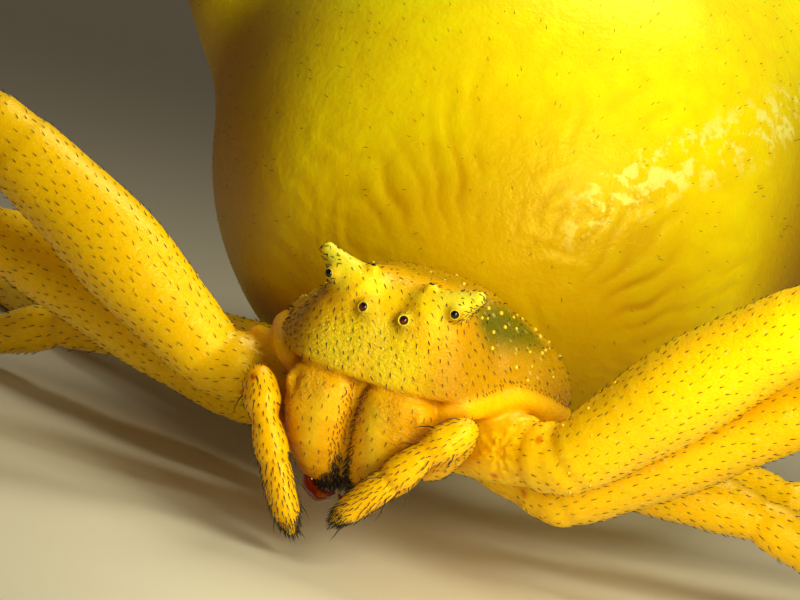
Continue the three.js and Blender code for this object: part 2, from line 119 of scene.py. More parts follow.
# The carapace
Eye = namedtuple("Eye", "name at radius look lift ring_lift ring_thickness shade")
EYES = [  # the left ones, with their lines of sight and the strength of the green painted shade below each eye's mound
    Eye("front_middle", v3(0.246, 0, 0), 0.055, v3(0.15, -0.95, 0.25), 0.62, 0.5, 0.15, 0.42),
    Eye("front_side", v3(0.767, 0.116, 0.23), 0.05, v3(0.3, -0.95, -0.05), 0.62, 0.32, 0.1, 0.3),
    Eye("back_middle", v3(0.367, 0.282, 0.442), 0.04, v3(0.1, -0.1, 1), 0.5, 0.32, 0.1, 0.2),
    Eye("back_side", v3(0.88, 0.44, 0.34), 0.045, v3(0.4, 0.9, 0.15), 0.5, 0.32, 0.1, 0.2),
]
EYE_MOUND = 1.7
FLOOR = -2.9
SKIN_GAP = 0.002  # between the floor and what rests on it

FACE_NORMAL, FACE_LEVEL = unit(v3(0, -0.827, 0.562)), -0.055
CROWN_NORMAL, CROWN_LEVEL = unit(v3(0, 0.11, 0.994)), 0.46
THORAX = (v3(0, 1.62, -0.87), v3(1.73, 1.72, 0.93))
HEAD = (v3(0, 0.85, -0.55), v3(0.95, 1.25, 1.14), 2.6)
CHEEKS = 0.25
UNDERSIDE = (v3(0, 1.8, -1.05), v3(0.6, 1.3, 0.48))
CORE = (v3(0, 1.72, -1.02), v3(1.3, 1.4, 0.5))
STERNUM = (v3(0, 1.86, -1.72), v3(0.68, 1.02, 0.26))
LIP_LEVEL = -0.755
HORN_ROOT, HORN_TIP = v3(0.46, 0.3, 0.1), v3(0.93, 0.29, 0.43)
HORN_ROOT_RADIUS, HORN_TIP_RADIUS = 0.28, 0.09
CREASE = [v3(0.62, 1.0, 0.4), v3(0.92, 0.98, 0.15), v3(1.08, 0.86, -0.12), v3(1.13, 0.72, -0.3)]
CREASE_WIDTH, CREASE_DEPTH = 0.15, 0.05
CROWN_DIP, CROWN_DIP_RADII, CROWN_DIP_DEPTH = v3(0, 0.62, 0.6), v3(0.4, 0.4, 0.3), 0.035


def head_field(p):
    widening = 1 + CHEEKS * (1 - smooth_step(-0.75, 0.3, p[..., 2]))
    q = p.copy()
    q[..., 0] = q[..., 0] / widening
    shape = super_ellipsoid(q, *HEAD)
    shape = soft_cut(shape, p @ CROWN_NORMAL - CROWN_LEVEL, 0.3)
    return soft_cut(shape, p @ FACE_NORMAL - FACE_LEVEL, 0.25)


def rim_level(y):
    """Height of the carapace's lower rim, which rises behind the face and falls along the thorax."""
    return LIP_LEVEL + 0.205 * smooth_step(0.15, 0.7, y) - 0.38 * smooth_step(0.7, 2.3, y)


def horn_field(p):
    away, t = from_line(mirrored(p), HORN_ROOT, HORN_TIP)
    return away - (HORN_ROOT_RADIUS + (HORN_TIP_RADIUS - HORN_ROOT_RADIUS) * t)


def bare_carapace(p):
    thorax = ellipsoid(p, *THORAX)
    shell = soft_union(thorax, soft_union(head_field(p), horn_field(p), 0.17), 0.4)
    return soft_cut(shell, rim_level(p[..., 1]) - p[..., 2], 0.1)


def seat_of(eye):
    """Where an eye's line of sight leaves the head."""
    look = unit(eye.look)
    inside, outside = -0.4, 0.4
    for _ in range(30):
        middle = (inside + outside) / 2
        p = (eye.at + look * middle)[None]
        if soft_union(bare_carapace(p), ellipsoid(p, *UNDERSIDE), 0.12)[0] < 0:
            inside = middle
        else:
            outside = middle
    return eye.at + look * inside


SEATS = [seat_of(eye) for eye in EYES]


def crease_near(p):
    """1 along the crease between the head and the thorax, fading to each side."""
    q = mirrored(p)
    away = np.full(q.shape[:-1], 9.0)
    for a, b in zip(CREASE, CREASE[1:]):
        away = np.minimum(away, from_line(q, a, b)[0])
    return bell(away, CREASE_WIDTH)


def carapace_field(p):
    shell = bare_carapace(p) + CREASE_DEPTH * crease_near(p)
    dip = np.linalg.norm((p - CROWN_DIP) / CROWN_DIP_RADII, axis=-1)
    shell = shell + CROWN_DIP_DEPTH * bell(dip, 1)
    q = mirrored(p)
    for eye, seat in zip(EYES, SEATS):
        away = np.linalg.norm(q - seat, axis=-1)
        shell = soft_union(shell, away - eye.radius * EYE_MOUND, 0.08)
    return shell


# Limbs are paths with a radius at each point
def smooth_radii(table, shares):
    at = np.array([s for s, _ in table])
    radius = np.array([r for _, r in table])
    i = np.clip(np.searchsorted(at, shares, side="left"), 1, len(at) - 1)
    k = smooth_step(at[i - 1], at[i], np.clip(shares, at[0], at[-1]))
    return radius[i - 1] + (radius[i] - radius[i - 1]) * k


def resampled(points, count):
    points = np.asarray(points, float)
    lengths = np.r_[0, np.cumsum(np.linalg.norm(np.diff(points, axis=0), axis=1))]
    at = np.linspace(0, lengths[-1], count)
    return np.stack([np.interp(at, lengths, points[:, k]) for k in range(3)], 1)


def curved(points, count):
    """An even walk along a smooth curve through the points."""
    points = [np.asarray(p, float) for p in points]
    if len(points) == 2:
        return resampled(points, count)
    ends = [2 * points[0] - points[1]] + points + [2 * points[-1] - points[-2]]
    fine = []
    for a, b, c, d in zip(ends, ends[1:], ends[2:], ends[3:]):
        for t in np.linspace(0, 1, 16, endpoint=False):
            fine.append(0.5 * (2 * b + (c - a) * t + (2 * a - 5 * b + 4 * c - d) * t * t
                               + (3 * b - a - 3 * c + d) * t ** 3))
    fine.append(points[-1])
    return resampled(fine, count)


def bent(a, bend, b, rounding, count):
    """Two straight stretches with a round bend between them."""
    before = bend + unit(a - bend) * rounding
    after = bend + unit(b - bend) * rounding
    arc = [(1 - t) ** 2 * before + 2 * t * (1 - t) * bend + t * t * after for t in np.linspace(0, 1, 9)]
    return resampled([a] + arc + [b], count)


class Limb:
    """A tapering piece of a limb: its path and radii, and how softly it joins the rest."""

    def __init__(self, name, kind, path, table, blend, girth=1.0):
        self.name, self.kind, self.blend = name, kind, blend
        self.path = path
        self.shares = np.linspace(0, 1, len(path))
        self.radii = smooth_radii(table, self.shares) * girth
        margin = self.radii.max() + 0.2
        self.low, self.high = path.min(0) - margin, path.max(0) + margin

    def field(self, p, with_share=False):
        best = np.full(p.shape[:-1], 1e9)
        share = np.zeros(p.shape[:-1])
        for i in range(len(self.path) - 1):
            away, t = from_line(p, self.path[i], self.path[i + 1])
            away = away - (self.radii[i] + (self.radii[i + 1] - self.radii[i]) * t)
            nearer = away < best
            best = np.where(nearer, away, best)
            if with_share:
                along = self.shares[i] + (self.shares[i + 1] - self.shares[i]) * t
                share = np.where(nearer, along, share)
        return (best, share) if with_share else best

    def at(self, share):
        return np.stack([np.interp(share, self.shares, self.path[:, k]) for k in range(3)], -1)

    def place(self, share):
        """Centre and direction at shares of the length."""
        ahead = self.at(np.clip(share + 0.02, 0, 1)) - self.at(np.clip(share - 0.02, 0, 1))
        return self.at(share), unit(ahead)


class Jaw:
    """A chelicera: flat in front, squarish across, blunt below."""

    TOP, LENGTH = -0.8, 1.4
    LEVELS = np.array([-0.45, -0.8, -0.95, -1.25, -1.6, -1.87, -2.02, -2.12])
    MIDDLE = np.array([0.4, 0.42, 0.445, 0.43, 0.388, 0.335, 0.31, 0.3])
    DEPTH = np.array([0.1, 0.03, -0.01, -0.04, 0.0, 0.06, 0.1, 0.11])
    HALF_WIDTH = np.array([0.36, 0.41, 0.44, 0.425, 0.385, 0.32, 0.22, 0.04])
    HALF_DEPTH = np.array([0.36, 0.37, 0.38, 0.385, 0.36, 0.28, 0.19, 0.04])

    def __init__(self, name, side):
        self.name, self.kind, self.blend, self.side = name, "chelicera", 0.022, side
        self.low = v3(-1.1 if side < 0 else -0.15, -0.6, -2.35)
        self.high = v3(0.15 if side < 0 else 1.1, 0.65, -0.45)

    @staticmethod
    def at_level(z, row):
        return np.interp(-z, -Jaw.LEVELS, row)

    @staticmethod
    def across(x, z):
        """How far across the jaw a place is: -1 at the inner side, 1 at the outer."""
        return (x - Jaw.at_level(z, Jaw.MIDDLE)) / Jaw.at_level(z, Jaw.HALF_WIDTH)

    @staticmethod
    def from_ridge(x, z):
        """How far across from the ridge, which runs from the inner side above to the outer below."""
        return Jaw.across(x, z) - (-0.45 + 0.7 * (Jaw.TOP - z) / 1.1)

    def field(self, p, with_share=False):
        x, z = p[..., 0] * self.side, p[..., 2]
        width, depth = self.at_level(z, self.HALF_WIDTH), self.at_level(z, self.HALF_DEPTH)
        across = self.across(x, z)
        deep = np.abs((p[..., 1] - self.at_level(z, self.DEPTH)) / depth)
        power = np.where(across < 0, 2.5, 2.7)
        away = ((np.abs(across) ** power + deep ** power) ** (1 / power) - 1) * np.minimum(width, depth)
        away = soft_cut(away, -2.1 - z, 0.1)
        away = soft_cut(away, z - LIP_LEVEL - 0.025, 0.1)  # it is tucked under the clypeus
        on_front = smooth_step(0.0, -0.25, p[..., 1])
        away = away - 0.018 * bell(self.from_ridge(x, z), 0.3) * on_front
        # a small boss at the upper outer corner, set off by a groove
        level = bell(z + 0.97, 0.12) * on_front
        away = away - 0.035 * bell(x - 0.83, 0.06) * level + 0.03 * bell(x - 0.71, 0.05) * level
        return (away, np.clip((self.TOP - z) / self.LENGTH, 0, 1)) if with_share else away

    def at(self, z):
        return np.stack([self.at_level(z, self.MIDDLE) * self.side, self.at_level(z, self.DEPTH), z], -1)

    def place(self, share):
        """Centre and direction at shares of the length."""
        z = self.TOP - self.LENGTH * share
        return self.at(z), unit(self.at(z - 0.05) - self.at(z))


class Trunk:
    """The carapace, or the mass under it, as one more piece of the skin."""

    def __init__(self, name, low, high, field, blend):
        self.name, self.kind, self.blend = name, name, blend
        self.low, self.high, self.shape = low, high, field

    def field(self, p, with_share=False):
        return (self.shape(p), np.zeros(len(p))) if with_share else self.shape(p)


# Legs: the lengths of their pieces, then where each goes, with headings in degrees forward and up
FRONT = dict(femur=3.9, patella=1.6, tibia=2.5, metatarsus=2.2, tarsus=1.1, girth=1.0)
SECOND = dict(femur=3.6, patella=1.5, tibia=2.4, metatarsus=2.1, tarsus=1.1, girth=0.94)
THIRD = dict(femur=2.1, patella=1.0, tibia=1.3, metatarsus=1.0, tarsus=0.7, girth=0.7)
FOURTH = dict(femur=2.4, patella=1.0, tibia=1.5, metatarsus=1.2, tarsus=0.75, girth=0.7)
LEGS = [  # name, lengths and girth, root, hip, headings of femur, patella and tibia, way of the foot
    ("left_1", FRONT, (0.84, 0.92, -1.36), (2.38, 0.45, -1.04), (3, 45), (22, 2), (42, -50), 60),
    ("left_2", SECOND, (0.8, 1.62, -1.5), (2.1, 1.36, -1.68), (-3, 36), (8, 0), (24, -44), 40),
    ("left_3", THIRD, (0.78, 2.2, -1.36), (1.9, 2.3, -1.5), (-12, -2), (-14, -16), (-16, -44), -20),
    ("left_4", FOURTH, (0.6, 2.78, -1.36), (1.65, 3.1, -1.56), (-34, -4), (-36, -10), (-40, -30), -44),
    ("right_1", FRONT, (-0.82, 0.92, -1.34), (-2.075, 0.55, -1.27), (8, 31), (26, 2), (46, -40), 64),
    ("right_2", SECOND, (-0.8, 1.64, -1.38), (-1.98, 1.5, -1.76), (2, 14), (14, 6), (30, -25), 46),
    ("right_3", THIRD, (-0.78, 2.24, -1.38), (-1.92, 2.36, -1.78), (-10, -2), (-12, -12), (-14, -26), -18),
    ("right_4", FOURTH, (-0.6, 2.78, -1.38), (-1.6, 3.08, -1.82), (-24, -3), (-26, -6), (-30, -22), -34),
]
FOOT_RADIUS = 0.13
FEMUR_ARCH = 0.022  # rise of a femur's middle over its length
# radii at shares of the length
COXA = [(0, 0.3), (0.35, 0.36), (0.75, 0.39), (1, 0.37)]
TROCHANTER = [(0, 0.35), (0.4, 0.405), (0.8, 0.385), (1, 0.36)]
FEMUR = [(0, 0.37), (0.1, 0.46), (0.42, 0.555), (0.75, 0.485), (0.93, 0.4), (1, 0.33)]
PALP_FEMUR = [(0, 0.13), (0.4, 0.16), (0.8, 0.17), (1, 0.15)]
PALP_PATELLA = [(0, 0.15), (0.25, 0.2), (0.6, 0.212), (1, 0.16)]
PALP_TIBIA = [(0, 0.15), (0.35, 0.185), (0.75, 0.2), (1, 0.15)]
PALP_TARSUS = [(0, 0.14), (0.2, 0.18), (0.65, 0.165), (0.92, 0.11), (1, 0.06)]


def heading(side, forward, rise):
    f, r = math.radians(forward), math.radians(rise)
    return v3(side * math.cos(r) * math.cos(f), -math.cos(r) * math.sin(f), math.sin(r))


def foot_slope(ankle, size):
    """Degrees that the metatarsus falls at, and the tarsus at half of that, to stand on the floor."""
    fall = ankle[2] - (FLOOR + FOOT_RADIUS)
    low, high = 0.0, 89.0
    for _ in range(40):
        slope = (low + high) / 2
        drop = size["metatarsus"] * math.sin(math.radians(slope))
        drop += size["tarsus"] * math.sin(math.radians(slope / 2))
        low, high = (slope, high) if drop < fall else (low, slope)
    return low


limbs = []
claw_places = []
for word, size, root, hip, femur, patella, tibia, foot in LEGS:
    root, hip, girth = v3(*root), v3(*hip), size["girth"]
    side = 1 if word.startswith("left") else -1
    knee = hip + heading(side, *femur) * size["femur"]
    shin = knee + heading(side, *patella) * size["patella"]
    ankle = shin + heading(side, *tibia) * size["tibia"]
    slope = foot_slope(ankle, size)
    toe = ankle + heading(side, foot, -slope) * size["metatarsus"]
    claw = toe + heading(side, foot, -slope / 2) * size["tarsus"]
    claw_places.append((claw, heading(side, foot, -slope / 2)))
    neck = root + (hip - root) * 0.62
    arch = (hip + knee) / 2 + v3(0, 0, FEMUR_ARCH * size["femur"])
    share = size["patella"] / (size["patella"] + size["tibia"])
    tibia_radii = [(0, 0.3), (0.12, 0.42), (share - 0.05, 0.39), (share, 0.335), (share + 0.2, 0.4),
                   (0.85, 0.34), (1, 0.26)]
    foot_radii = [(0, 0.25), (0.1, 0.3), (0.6, 0.25), (0.67, 0.225), (0.85, 0.24), (1, 0.16 / girth)]
    for kind, path, radii, blend in (
            ("coxa", curved([root * v3(0.55, 1, 1), root, neck], 9), COXA, 0.12),
            ("trochanter", curved([root + (hip - root) * 0.7, hip], 6), TROCHANTER, 0.05),
            ("femur", curved([hip, arch, knee], 16), FEMUR, 0.06),
            ("tibia", bent(knee, shin, ankle, 0.5, 22), tibia_radii, 0.05),
            ("foot", bent(ankle, toe, claw, 0.3, 18), foot_radii, 0.05)):
        limbs.append(Limb(f"{word}_{kind}", kind, path, radii, blend, girth))

PALPS = [  # name, hip, middle and far end of the femur, tip
    ("left", (0.82, 0.42, -1.62), (1.16, 0.1, -1.22), (1.34, -0.28, -0.92), (0.22, -0.6, -2.27)),
    ("right", (-0.86, 0.46, -1.84), (-1.12, 0.12, -1.5), (-1.15, -0.32, -1.08), (-0.3, -0.48, -2.57)),
]
for word, *places in PALPS:
    hip, middle, knee, tip = (v3(*place) for place in places)
    wrist = knee + (tip - knee) * 0.53 + v3(0, -0.08, 0.02)
    between = knee + (wrist - knee) * 0.5 + v3(0, -0.06, 0.03)
    inner = hip * v3(0.62, 1, 1) + v3(0, 0.1, 0)
    along = wrist + (tip - wrist) * 0.5 + v3(0, -0.02, 0)
    for kind, path, radii, blend in (
            ("palp_base", curved([inner, hip, middle, knee], 12), PALP_FEMUR, 0.05),
            ("palp", curved([knee, knee + (between - knee) * 0.9], 6), PALP_PATELLA, 0.04),
            ("palp", curved([knee + (between - knee) * 1.1, wrist], 6), PALP_TIBIA, 0.025),
            ("palp_tip", curved([wrist, along, tip], 8), PALP_TARSUS, 0.025)):
        limbs.append(Limb(f"palp_{word}", kind, path, radii, blend))

MAXILLA = [(0.54, 0.85, -1.55), (0.44, 0.62, -1.9), (0.32, 0.56, -2.06)]
# the soft fold of skin between the carapace's rim and the legs, and the skin between it and the first hip
FOLD = [(0.8, 0.12, -0.95), (0.98, 0.14, -0.84), (1.12, 0.26, -0.785), (1.27, 0.54, -0.735),
        (1.41, 0.86, -0.705), (1.53, 1.14, -0.77), (1.64, 1.55, -0.9), (1.55, 2.2, -1.08), (1.0, 2.95, -1.2)]
FOLD_BED = [(0.85, 0.82, -1.12), (1.22, 0.66, -0.98), (1.7, 0.8, -0.92)]
PAIRED = [  # name, kind, left path and its count of points, radii, blend
    ("maxilla", "mouth", MAXILLA, 8, [(0, 0.16), (0.5, 0.17), (0.8, 0.15), (1, 0.08)], 0.05),
    ("fold", "fold", FOLD, 20, [(0, 0.14), (0.12, 0.15), (0.5, 0.165), (1, 0.15)], 0.07),
    ("fold_bed", "fold", FOLD_BED, 8, [(0, 0.16), (0.5, 0.18), (1, 0.14)], 0.1),
]
SINGLE = [
    ("labium", "mouth", [(0, 0.8, -1.55), (0, 0.58, -1.88), (0, 0.5, -2.05)], 6,
     [(0, 0.14), (0.5, 0.13), (1, 0.07)], 0.05),
    ("jaw_seam", "mouth", [(0, -0.11, -0.8), (0, -0.15, -1.4), (0, -0.1, -1.85)], 8,
     [(0, 0.11), (0.3, 0.08), (1, 0.055)], 0.03),
    ("waist", "waist", [(0, 2.9, -1.15), (0, 3.3, -1.18), (-0.08, 4.1, -1.02)], 8,
     [(0, 0.34), (0.5, 0.26), (1, 0.3)], 0.12),
]
for side, word in SIDES:
    limbs.append(Jaw(f"chelicera_{word}", side))
    for name, kind, path, count, radii, blend in PAIRED:
        path = curved([v3(side, 1, 1) * v3(*place) for place in path], count)
        limbs.append(Limb(f"{name}_{word}", kind, path, radii, blend))
for name, kind, path, count, radii, blend in SINGLE:
    limbs.append(Limb(name, kind, curved(path, count), radii, blend))
ORDER = {"coxa": 0, "fold": 1, "mouth": 1, "waist": 1, "trochanter": 2, "femur": 3, "tibia": 4, "foot": 5,
         "chelicera": 6, "palp_base": 7, "palp": 8, "palp_tip": 9}
limbs.sort(key=lambda limb: ORDER[limb.kind])
parts = [
    Trunk("carapace", v3(-2.1, -0.75, -1.5), v3(2.1, 3.7, 0.85), carapace_field, 0.05),
    Trunk("core", v3(-1.1, 0.2, -2.2), v3(1.1, 3.5, -0.3), lambda p: ellipsoid(p, *CORE), 0.1),
    Trunk("sternum", v3(-1.0, 0.6, -2.3), v3(1.0, 3.2, -1.2), lambda p: ellipsoid(p, *STERNUM), 0.12),
] + limbs


def skin_level(p):
    """The whole skin's field at loose points, read piece by piece near each piece."""
    level = np.full(len(p), 1.0)
    for part in parts:
        near = ((p > part.low) & (p < part.high)).all(1)
        if near.any():
            level[near] = soft_union(level[near], part.field(p[near]), part.blend)
    return level


def grid_planes(stops):
    """Planes whose spacing changes evenly between stops of [place, spacing]."""
    at, spacing = [a for a, _ in stops], [b * COARSENESS for _, b in stops]
    places = [at[0]]
    while places[-1] < at[-1]:
        places.append(places[-1] + np.interp(places[-1], at, spacing))
    return np.array(places)


def net_points(planes, level, cells):
    """The middle of the places where the surface crosses each cell's edges."""
    sums = np.zeros((len(cells[0]), 3))
    count = np.zeros(len(cells[0]))
    for axis in range(3):
        for a, b in ((0, 0), (0, 1), (1, 0), (1, 1)):
            start = list(cells)
            start[(axis + 1) % 3] = start[(axis + 1) % 3] + a
            start[(axis + 2) % 3] = start[(axis + 2) % 3] + b
            stop = list(start)
            stop[axis] = stop[axis] + 1
            f0, f1 = level[tuple(start)], level[tuple(stop)]
            cross = (f0 < 0) != (f1 < 0)
            t = np.where(cross, f0 / np.where(cross, f0 - f1, 1), 0)
            for k in range(3):
                p0, p1 = planes[k][start[k]], planes[k][stop[k]]
                sums[:, k] += np.where(cross, p0 + (p1 - p0) * t, 0)
            count += cross
    return sums / count[:, None]


def surface_net(planes, level):
    """Points and quads of the surface where a field on a grid is zero."""
    inside = level < 0
    s = inside.view(np.uint8)
    nx, ny, nz = (len(along) - 1 for along in planes)
    total = sum(s[a:a + nx, b:b + ny, c:c + nz].astype(np.uint8)
                for a in (0, 1) for b in (0, 1) for c in (0, 1))
    active = (total > 0) & (total < 8)
    cells = np.nonzero(active)
    index = np.full(active.shape, -1, np.int32)
    index[cells] = np.arange(len(cells[0]))
    quads = []
    for axis in range(3):
        here = [slice(1, n - 1) for n in level.shape]
        there = list(here)
        there[axis] = slice(2, level.shape[axis])
        first, second = inside[tuple(here)], inside[tuple(there)]
        at = np.nonzero(first != second)
        enters = second[at]
        at = [a + 1 for a in at]
        ring = []
        for a, b in ((0, 0), (1, 0), (1, 1), (0, 1)):
            cell = list(at)
            cell[(axis + 1) % 3] = cell[(axis + 1) % 3] - a
            cell[(axis + 2) % 3] = cell[(axis + 2) % 3] - b
            ring.append(index[tuple(cell)])
        ring = np.stack(ring, 1)
        ring[enters] = ring[enters][:, ::-1]
        quads.append(ring)
    return net_points(planes, level, cells), np.concatenate(quads)


def above_floor(p, gap=SKIN_GAP):
    p[..., 2] = np.maximum(p[..., 2], FLOOR + gap)


# The head's frame in the part's frame, from the two front middle eyes
def box_middle(node):
    low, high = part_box(node)
    return np.array((low + high) / 2) / MM


left, right = box_middle("eye_front_middle_left"), box_middle("eye_front_middle_right")
ball = SEATS[0] + unit(EYES[0].look) * EYES[0].radius * EYE_MOUND * 0.6
SHIFT = (left + right) / 2 - v3(0, ball[1], ball[2])


def placed(p):
    """Head-frame millimetres to the part's metres."""
    return (np.asarray(p, float) + SHIFT) * MM


# Camera
YAW, ELEVATION, ROLL = math.radians(20), math.radians(13), math.radians(13.62)
PIXELS_PER_MM, DISTANCE = 90.0, 80.0  # at the front middle eyes
EYES_AT_PIXEL = (384.5, 314.0)
PICTURE = (800, 600)
SENSOR = 36
back = v3(math.sin(YAW) * math.cos(ELEVATION), -math.cos(YAW) * math.cos(ELEVATION), math.sin(ELEVATION))
level_right = v3(math.cos(YAW), math.sin(YAW), 0)
level_up = np.cross(back, level_right)
cam_right = level_right * math.cos(ROLL) + level_up * math.sin(ROLL)
cam_up = -level_right * math.sin(ROLL) + level_up * math.cos(ROLL)
offset = cam_right * (EYES_AT_PIXEL[0] - PICTURE[0] / 2) - cam_up * (EYES_AT_PIXEL[1] - PICTURE[1] / 2)
camera = bpy.data.cameras.new("camera")
camera.sensor_width = SENSOR
camera.lens = PIXELS_PER_MM * DISTANCE * SENSOR / PICTURE[0]
camera.clip_start = 0.005
camera.clip_end = 5
camera_object = bpy.data.objects.new("camera", camera)
turn = Matrix([[cam_right[k], cam_up[k], back[k]] for k in range(3)]).to_4x4()
turn.translation = Vector(placed(back * DISTANCE - offset / PIXELS_PER_MM))
camera_object.matrix_world = turn
bpy.context.scene.collection.objects.link(camera_object)
bpy.context.scene.camera = camera_object


# Meshes
def as_piece(name, mesh, material):
    mesh.shade_smooth()
    mesh.materials.append(material)
    made = bpy.data.objects.new(name, mesh)
    bpy.context.scene.collection.objects.link(made)
    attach(made, "root")
    return made


def large_piece(name, points, faces, material):
    """A piece of many faces, all with the same number of sides."""
    faces = np.asarray(faces, np.int32)
    mesh = bpy.data.meshes.new(name)
    mesh.vertices.add(len(points))
    mesh.vertices.foreach_set("co", placed(points).astype(np.float32).ravel())
    mesh.loops.add(faces.size)
    mesh.loops.foreach_set("vertex_index", faces.ravel())
    mesh.polygons.add(len(faces))
    mesh.polygons.foreach_set("loop_start", np.arange(0, faces.size, faces.shape[1], dtype=np.int32))
    mesh.polygons.foreach_set("loop_total", np.full(len(faces), faces.shape[1], np.int32))
    mesh.update(calc_edges=True)
    mesh.validate()
    return as_piece(name, mesh, material)


def small_piece(name, points, faces, material):
    """A closed piece of few faces, whose faces are turned outwards."""
    mesh = bpy.data.meshes.new(name)
    mesh.from_pydata(placed(points).tolist(), [], faces)
    mesh.validate()
    mesh.update()
    work = bmesh.new()
    work.from_mesh(mesh)
    bmesh.ops.recalc_face_normals(work, faces=work.faces)
    work.to_mesh(mesh)
    work.free()
    return as_piece(name, mesh, material)


def ball_of(make, **sizes):
    """Points and faces of a ball that a bmesh operator makes."""
    work = bmesh.new()
    make(work, **sizes)
    points = np.array([v.co[:] for v in work.verts])
    faces = [[v.index for v in f.verts] for f in work.faces]
    work.free()
    return points, faces


def add_values(piece, name, values):
    """A named value at each point of a mesh, for its material."""
    attribute = piece.data.attributes.new(name, "FLOAT", "POINT")
    attribute.data.foreach_set("value", np.asarray(values, np.float32))


def add_unwrap(piece, centres, patch):
    """The OFBake map: each bristle or bead has a small patch about its place on the skin's unwrap."""
    uv_points = (np.stack(centres, 1)[:, None] + patch[None]).reshape(-1, 2)
    loops = np.zeros(len(piece.data.loops), np.int32)
    piece.data.loops.foreach_get("vertex_index", loops)
    layer = piece.data.uv_layers.new(name="OFBake")
    layer.data.foreach_set("uv", uv_points[loops].astype(np.float32).ravel())


# Materials
class Surface:
    """A material on its Principled shader, with short ways to make the nodes that feed it."""

    def __init__(self, name):
        self.made = bpy.data.materials.new(name)
        self.made.use_nodes = True
        self.tree = self.made.node_tree
        self.shader = self.tree.nodes["Principled BSDF"]

    def feed(self, node, inputs):
        """Numbers, colours or other nodes' outputs into a node's sockets."""
        for name, value in inputs.items():
            socket = node.inputs[name]
            if isinstance(value, bpy.types.NodeSocket):
                self.tree.links.new(value, socket)
            elif isinstance(value, tuple) and len(socket.default_value) == 4:
                socket.default_value = (*value, 1)
            else:
                socket.default_value = value

    def put(self, **inputs):
        """Values into the shader, whose sockets are named as words joined by underscores."""
        self.feed(self.shader, {name.replace("_", " "): value for name, value in inputs.items()})

    def node(self, kind, inputs, **settings):
        made = self.tree.nodes.new(kind)
        for name, value in settings.items():
            setattr(made, name, value)
        self.feed(made, inputs)
        return made.outputs

    def millimetres(self):
        """Places on the object in millimetres, for textures."""
        place = self.node("ShaderNodeTexCoord", {})["Object"]
        return self.node("ShaderNodeVectorMath", {0: place, "Scale": 1 / MM}, operation="SCALE")[0]

    def noise(self, at, scale, detail=2.0, roughness=0.5):
        inputs = {"Vector": at, "Scale": scale, "Detail": detail, "Roughness": roughness}
        return self.node("ShaderNodeTexNoise", inputs)["Fac"]

    def cells(self, at, scale):
        return self.node("ShaderNodeTexVoronoi", {"Vector": at, "Scale": scale})["Distance"]

    def ramp(self, value, low, high, to_low=0.0, to_high=1.0):
        inputs = {"Value": value, "From Min": low, "From Max": high, "To Min": to_low, "To Max": to_high}
        return self.node("ShaderNodeMapRange", inputs, interpolation_type="SMOOTHSTEP")["Result"]

    def times(self, a, b):
        return self.node("ShaderNodeMath", {0: a, 1: b}, operation="MULTIPLY")[0]

    def less(self, a, b):
        return self.node("ShaderNodeMath", {0: a, 1: b}, operation="SUBTRACT")[0]

    def mix(self, factor, a, b):
        """Colours, from a to b as the factor goes from 0 to 1."""
        return self.node("ShaderNodeMix", {0: factor, 6: a, 7: b}, data_type="RGBA")[2]

    def value(self, name):
        """The value of that name at the mesh's points."""
        return self.node("ShaderNodeAttribute", {}, attribute_name=name)["Fac"]

    def toned(self, colour, name, shade, strength=1.0):
        """A shade laid over a colour where the mesh's value of that name is high."""
        mask = self.value(name)
        return self.mix(self.times(mask, strength) if strength < 1 else mask, colour, shade)

    def bump(self, height, distance, strength=1.0):
        """A fine relief, as deep as the distance in metres."""
        inputs = {"Height": height, "Distance": distance, "Strength": strength}
        return self.node("ShaderNodeBump", inputs)["Normal"]

    def soft_flesh(self, weight, scale):
        """Light that goes under the skin, and gloss that fades at the edges, as on a waxy cuticle."""
        facing = self.node("ShaderNodeLayerWeight", {"Blend": 0.5})["Facing"]
        self.put(Specular_IOR_Level=self.ramp(facing, 0.3, 0.95, 0.5, 0.06), Specular_Tint=(1.0, 0.8, 0.12),
                 Subsurface_Weight=weight, Subsurface_Radius=(1.0, 0.55, 0.06), Subsurface_Scale=scale)


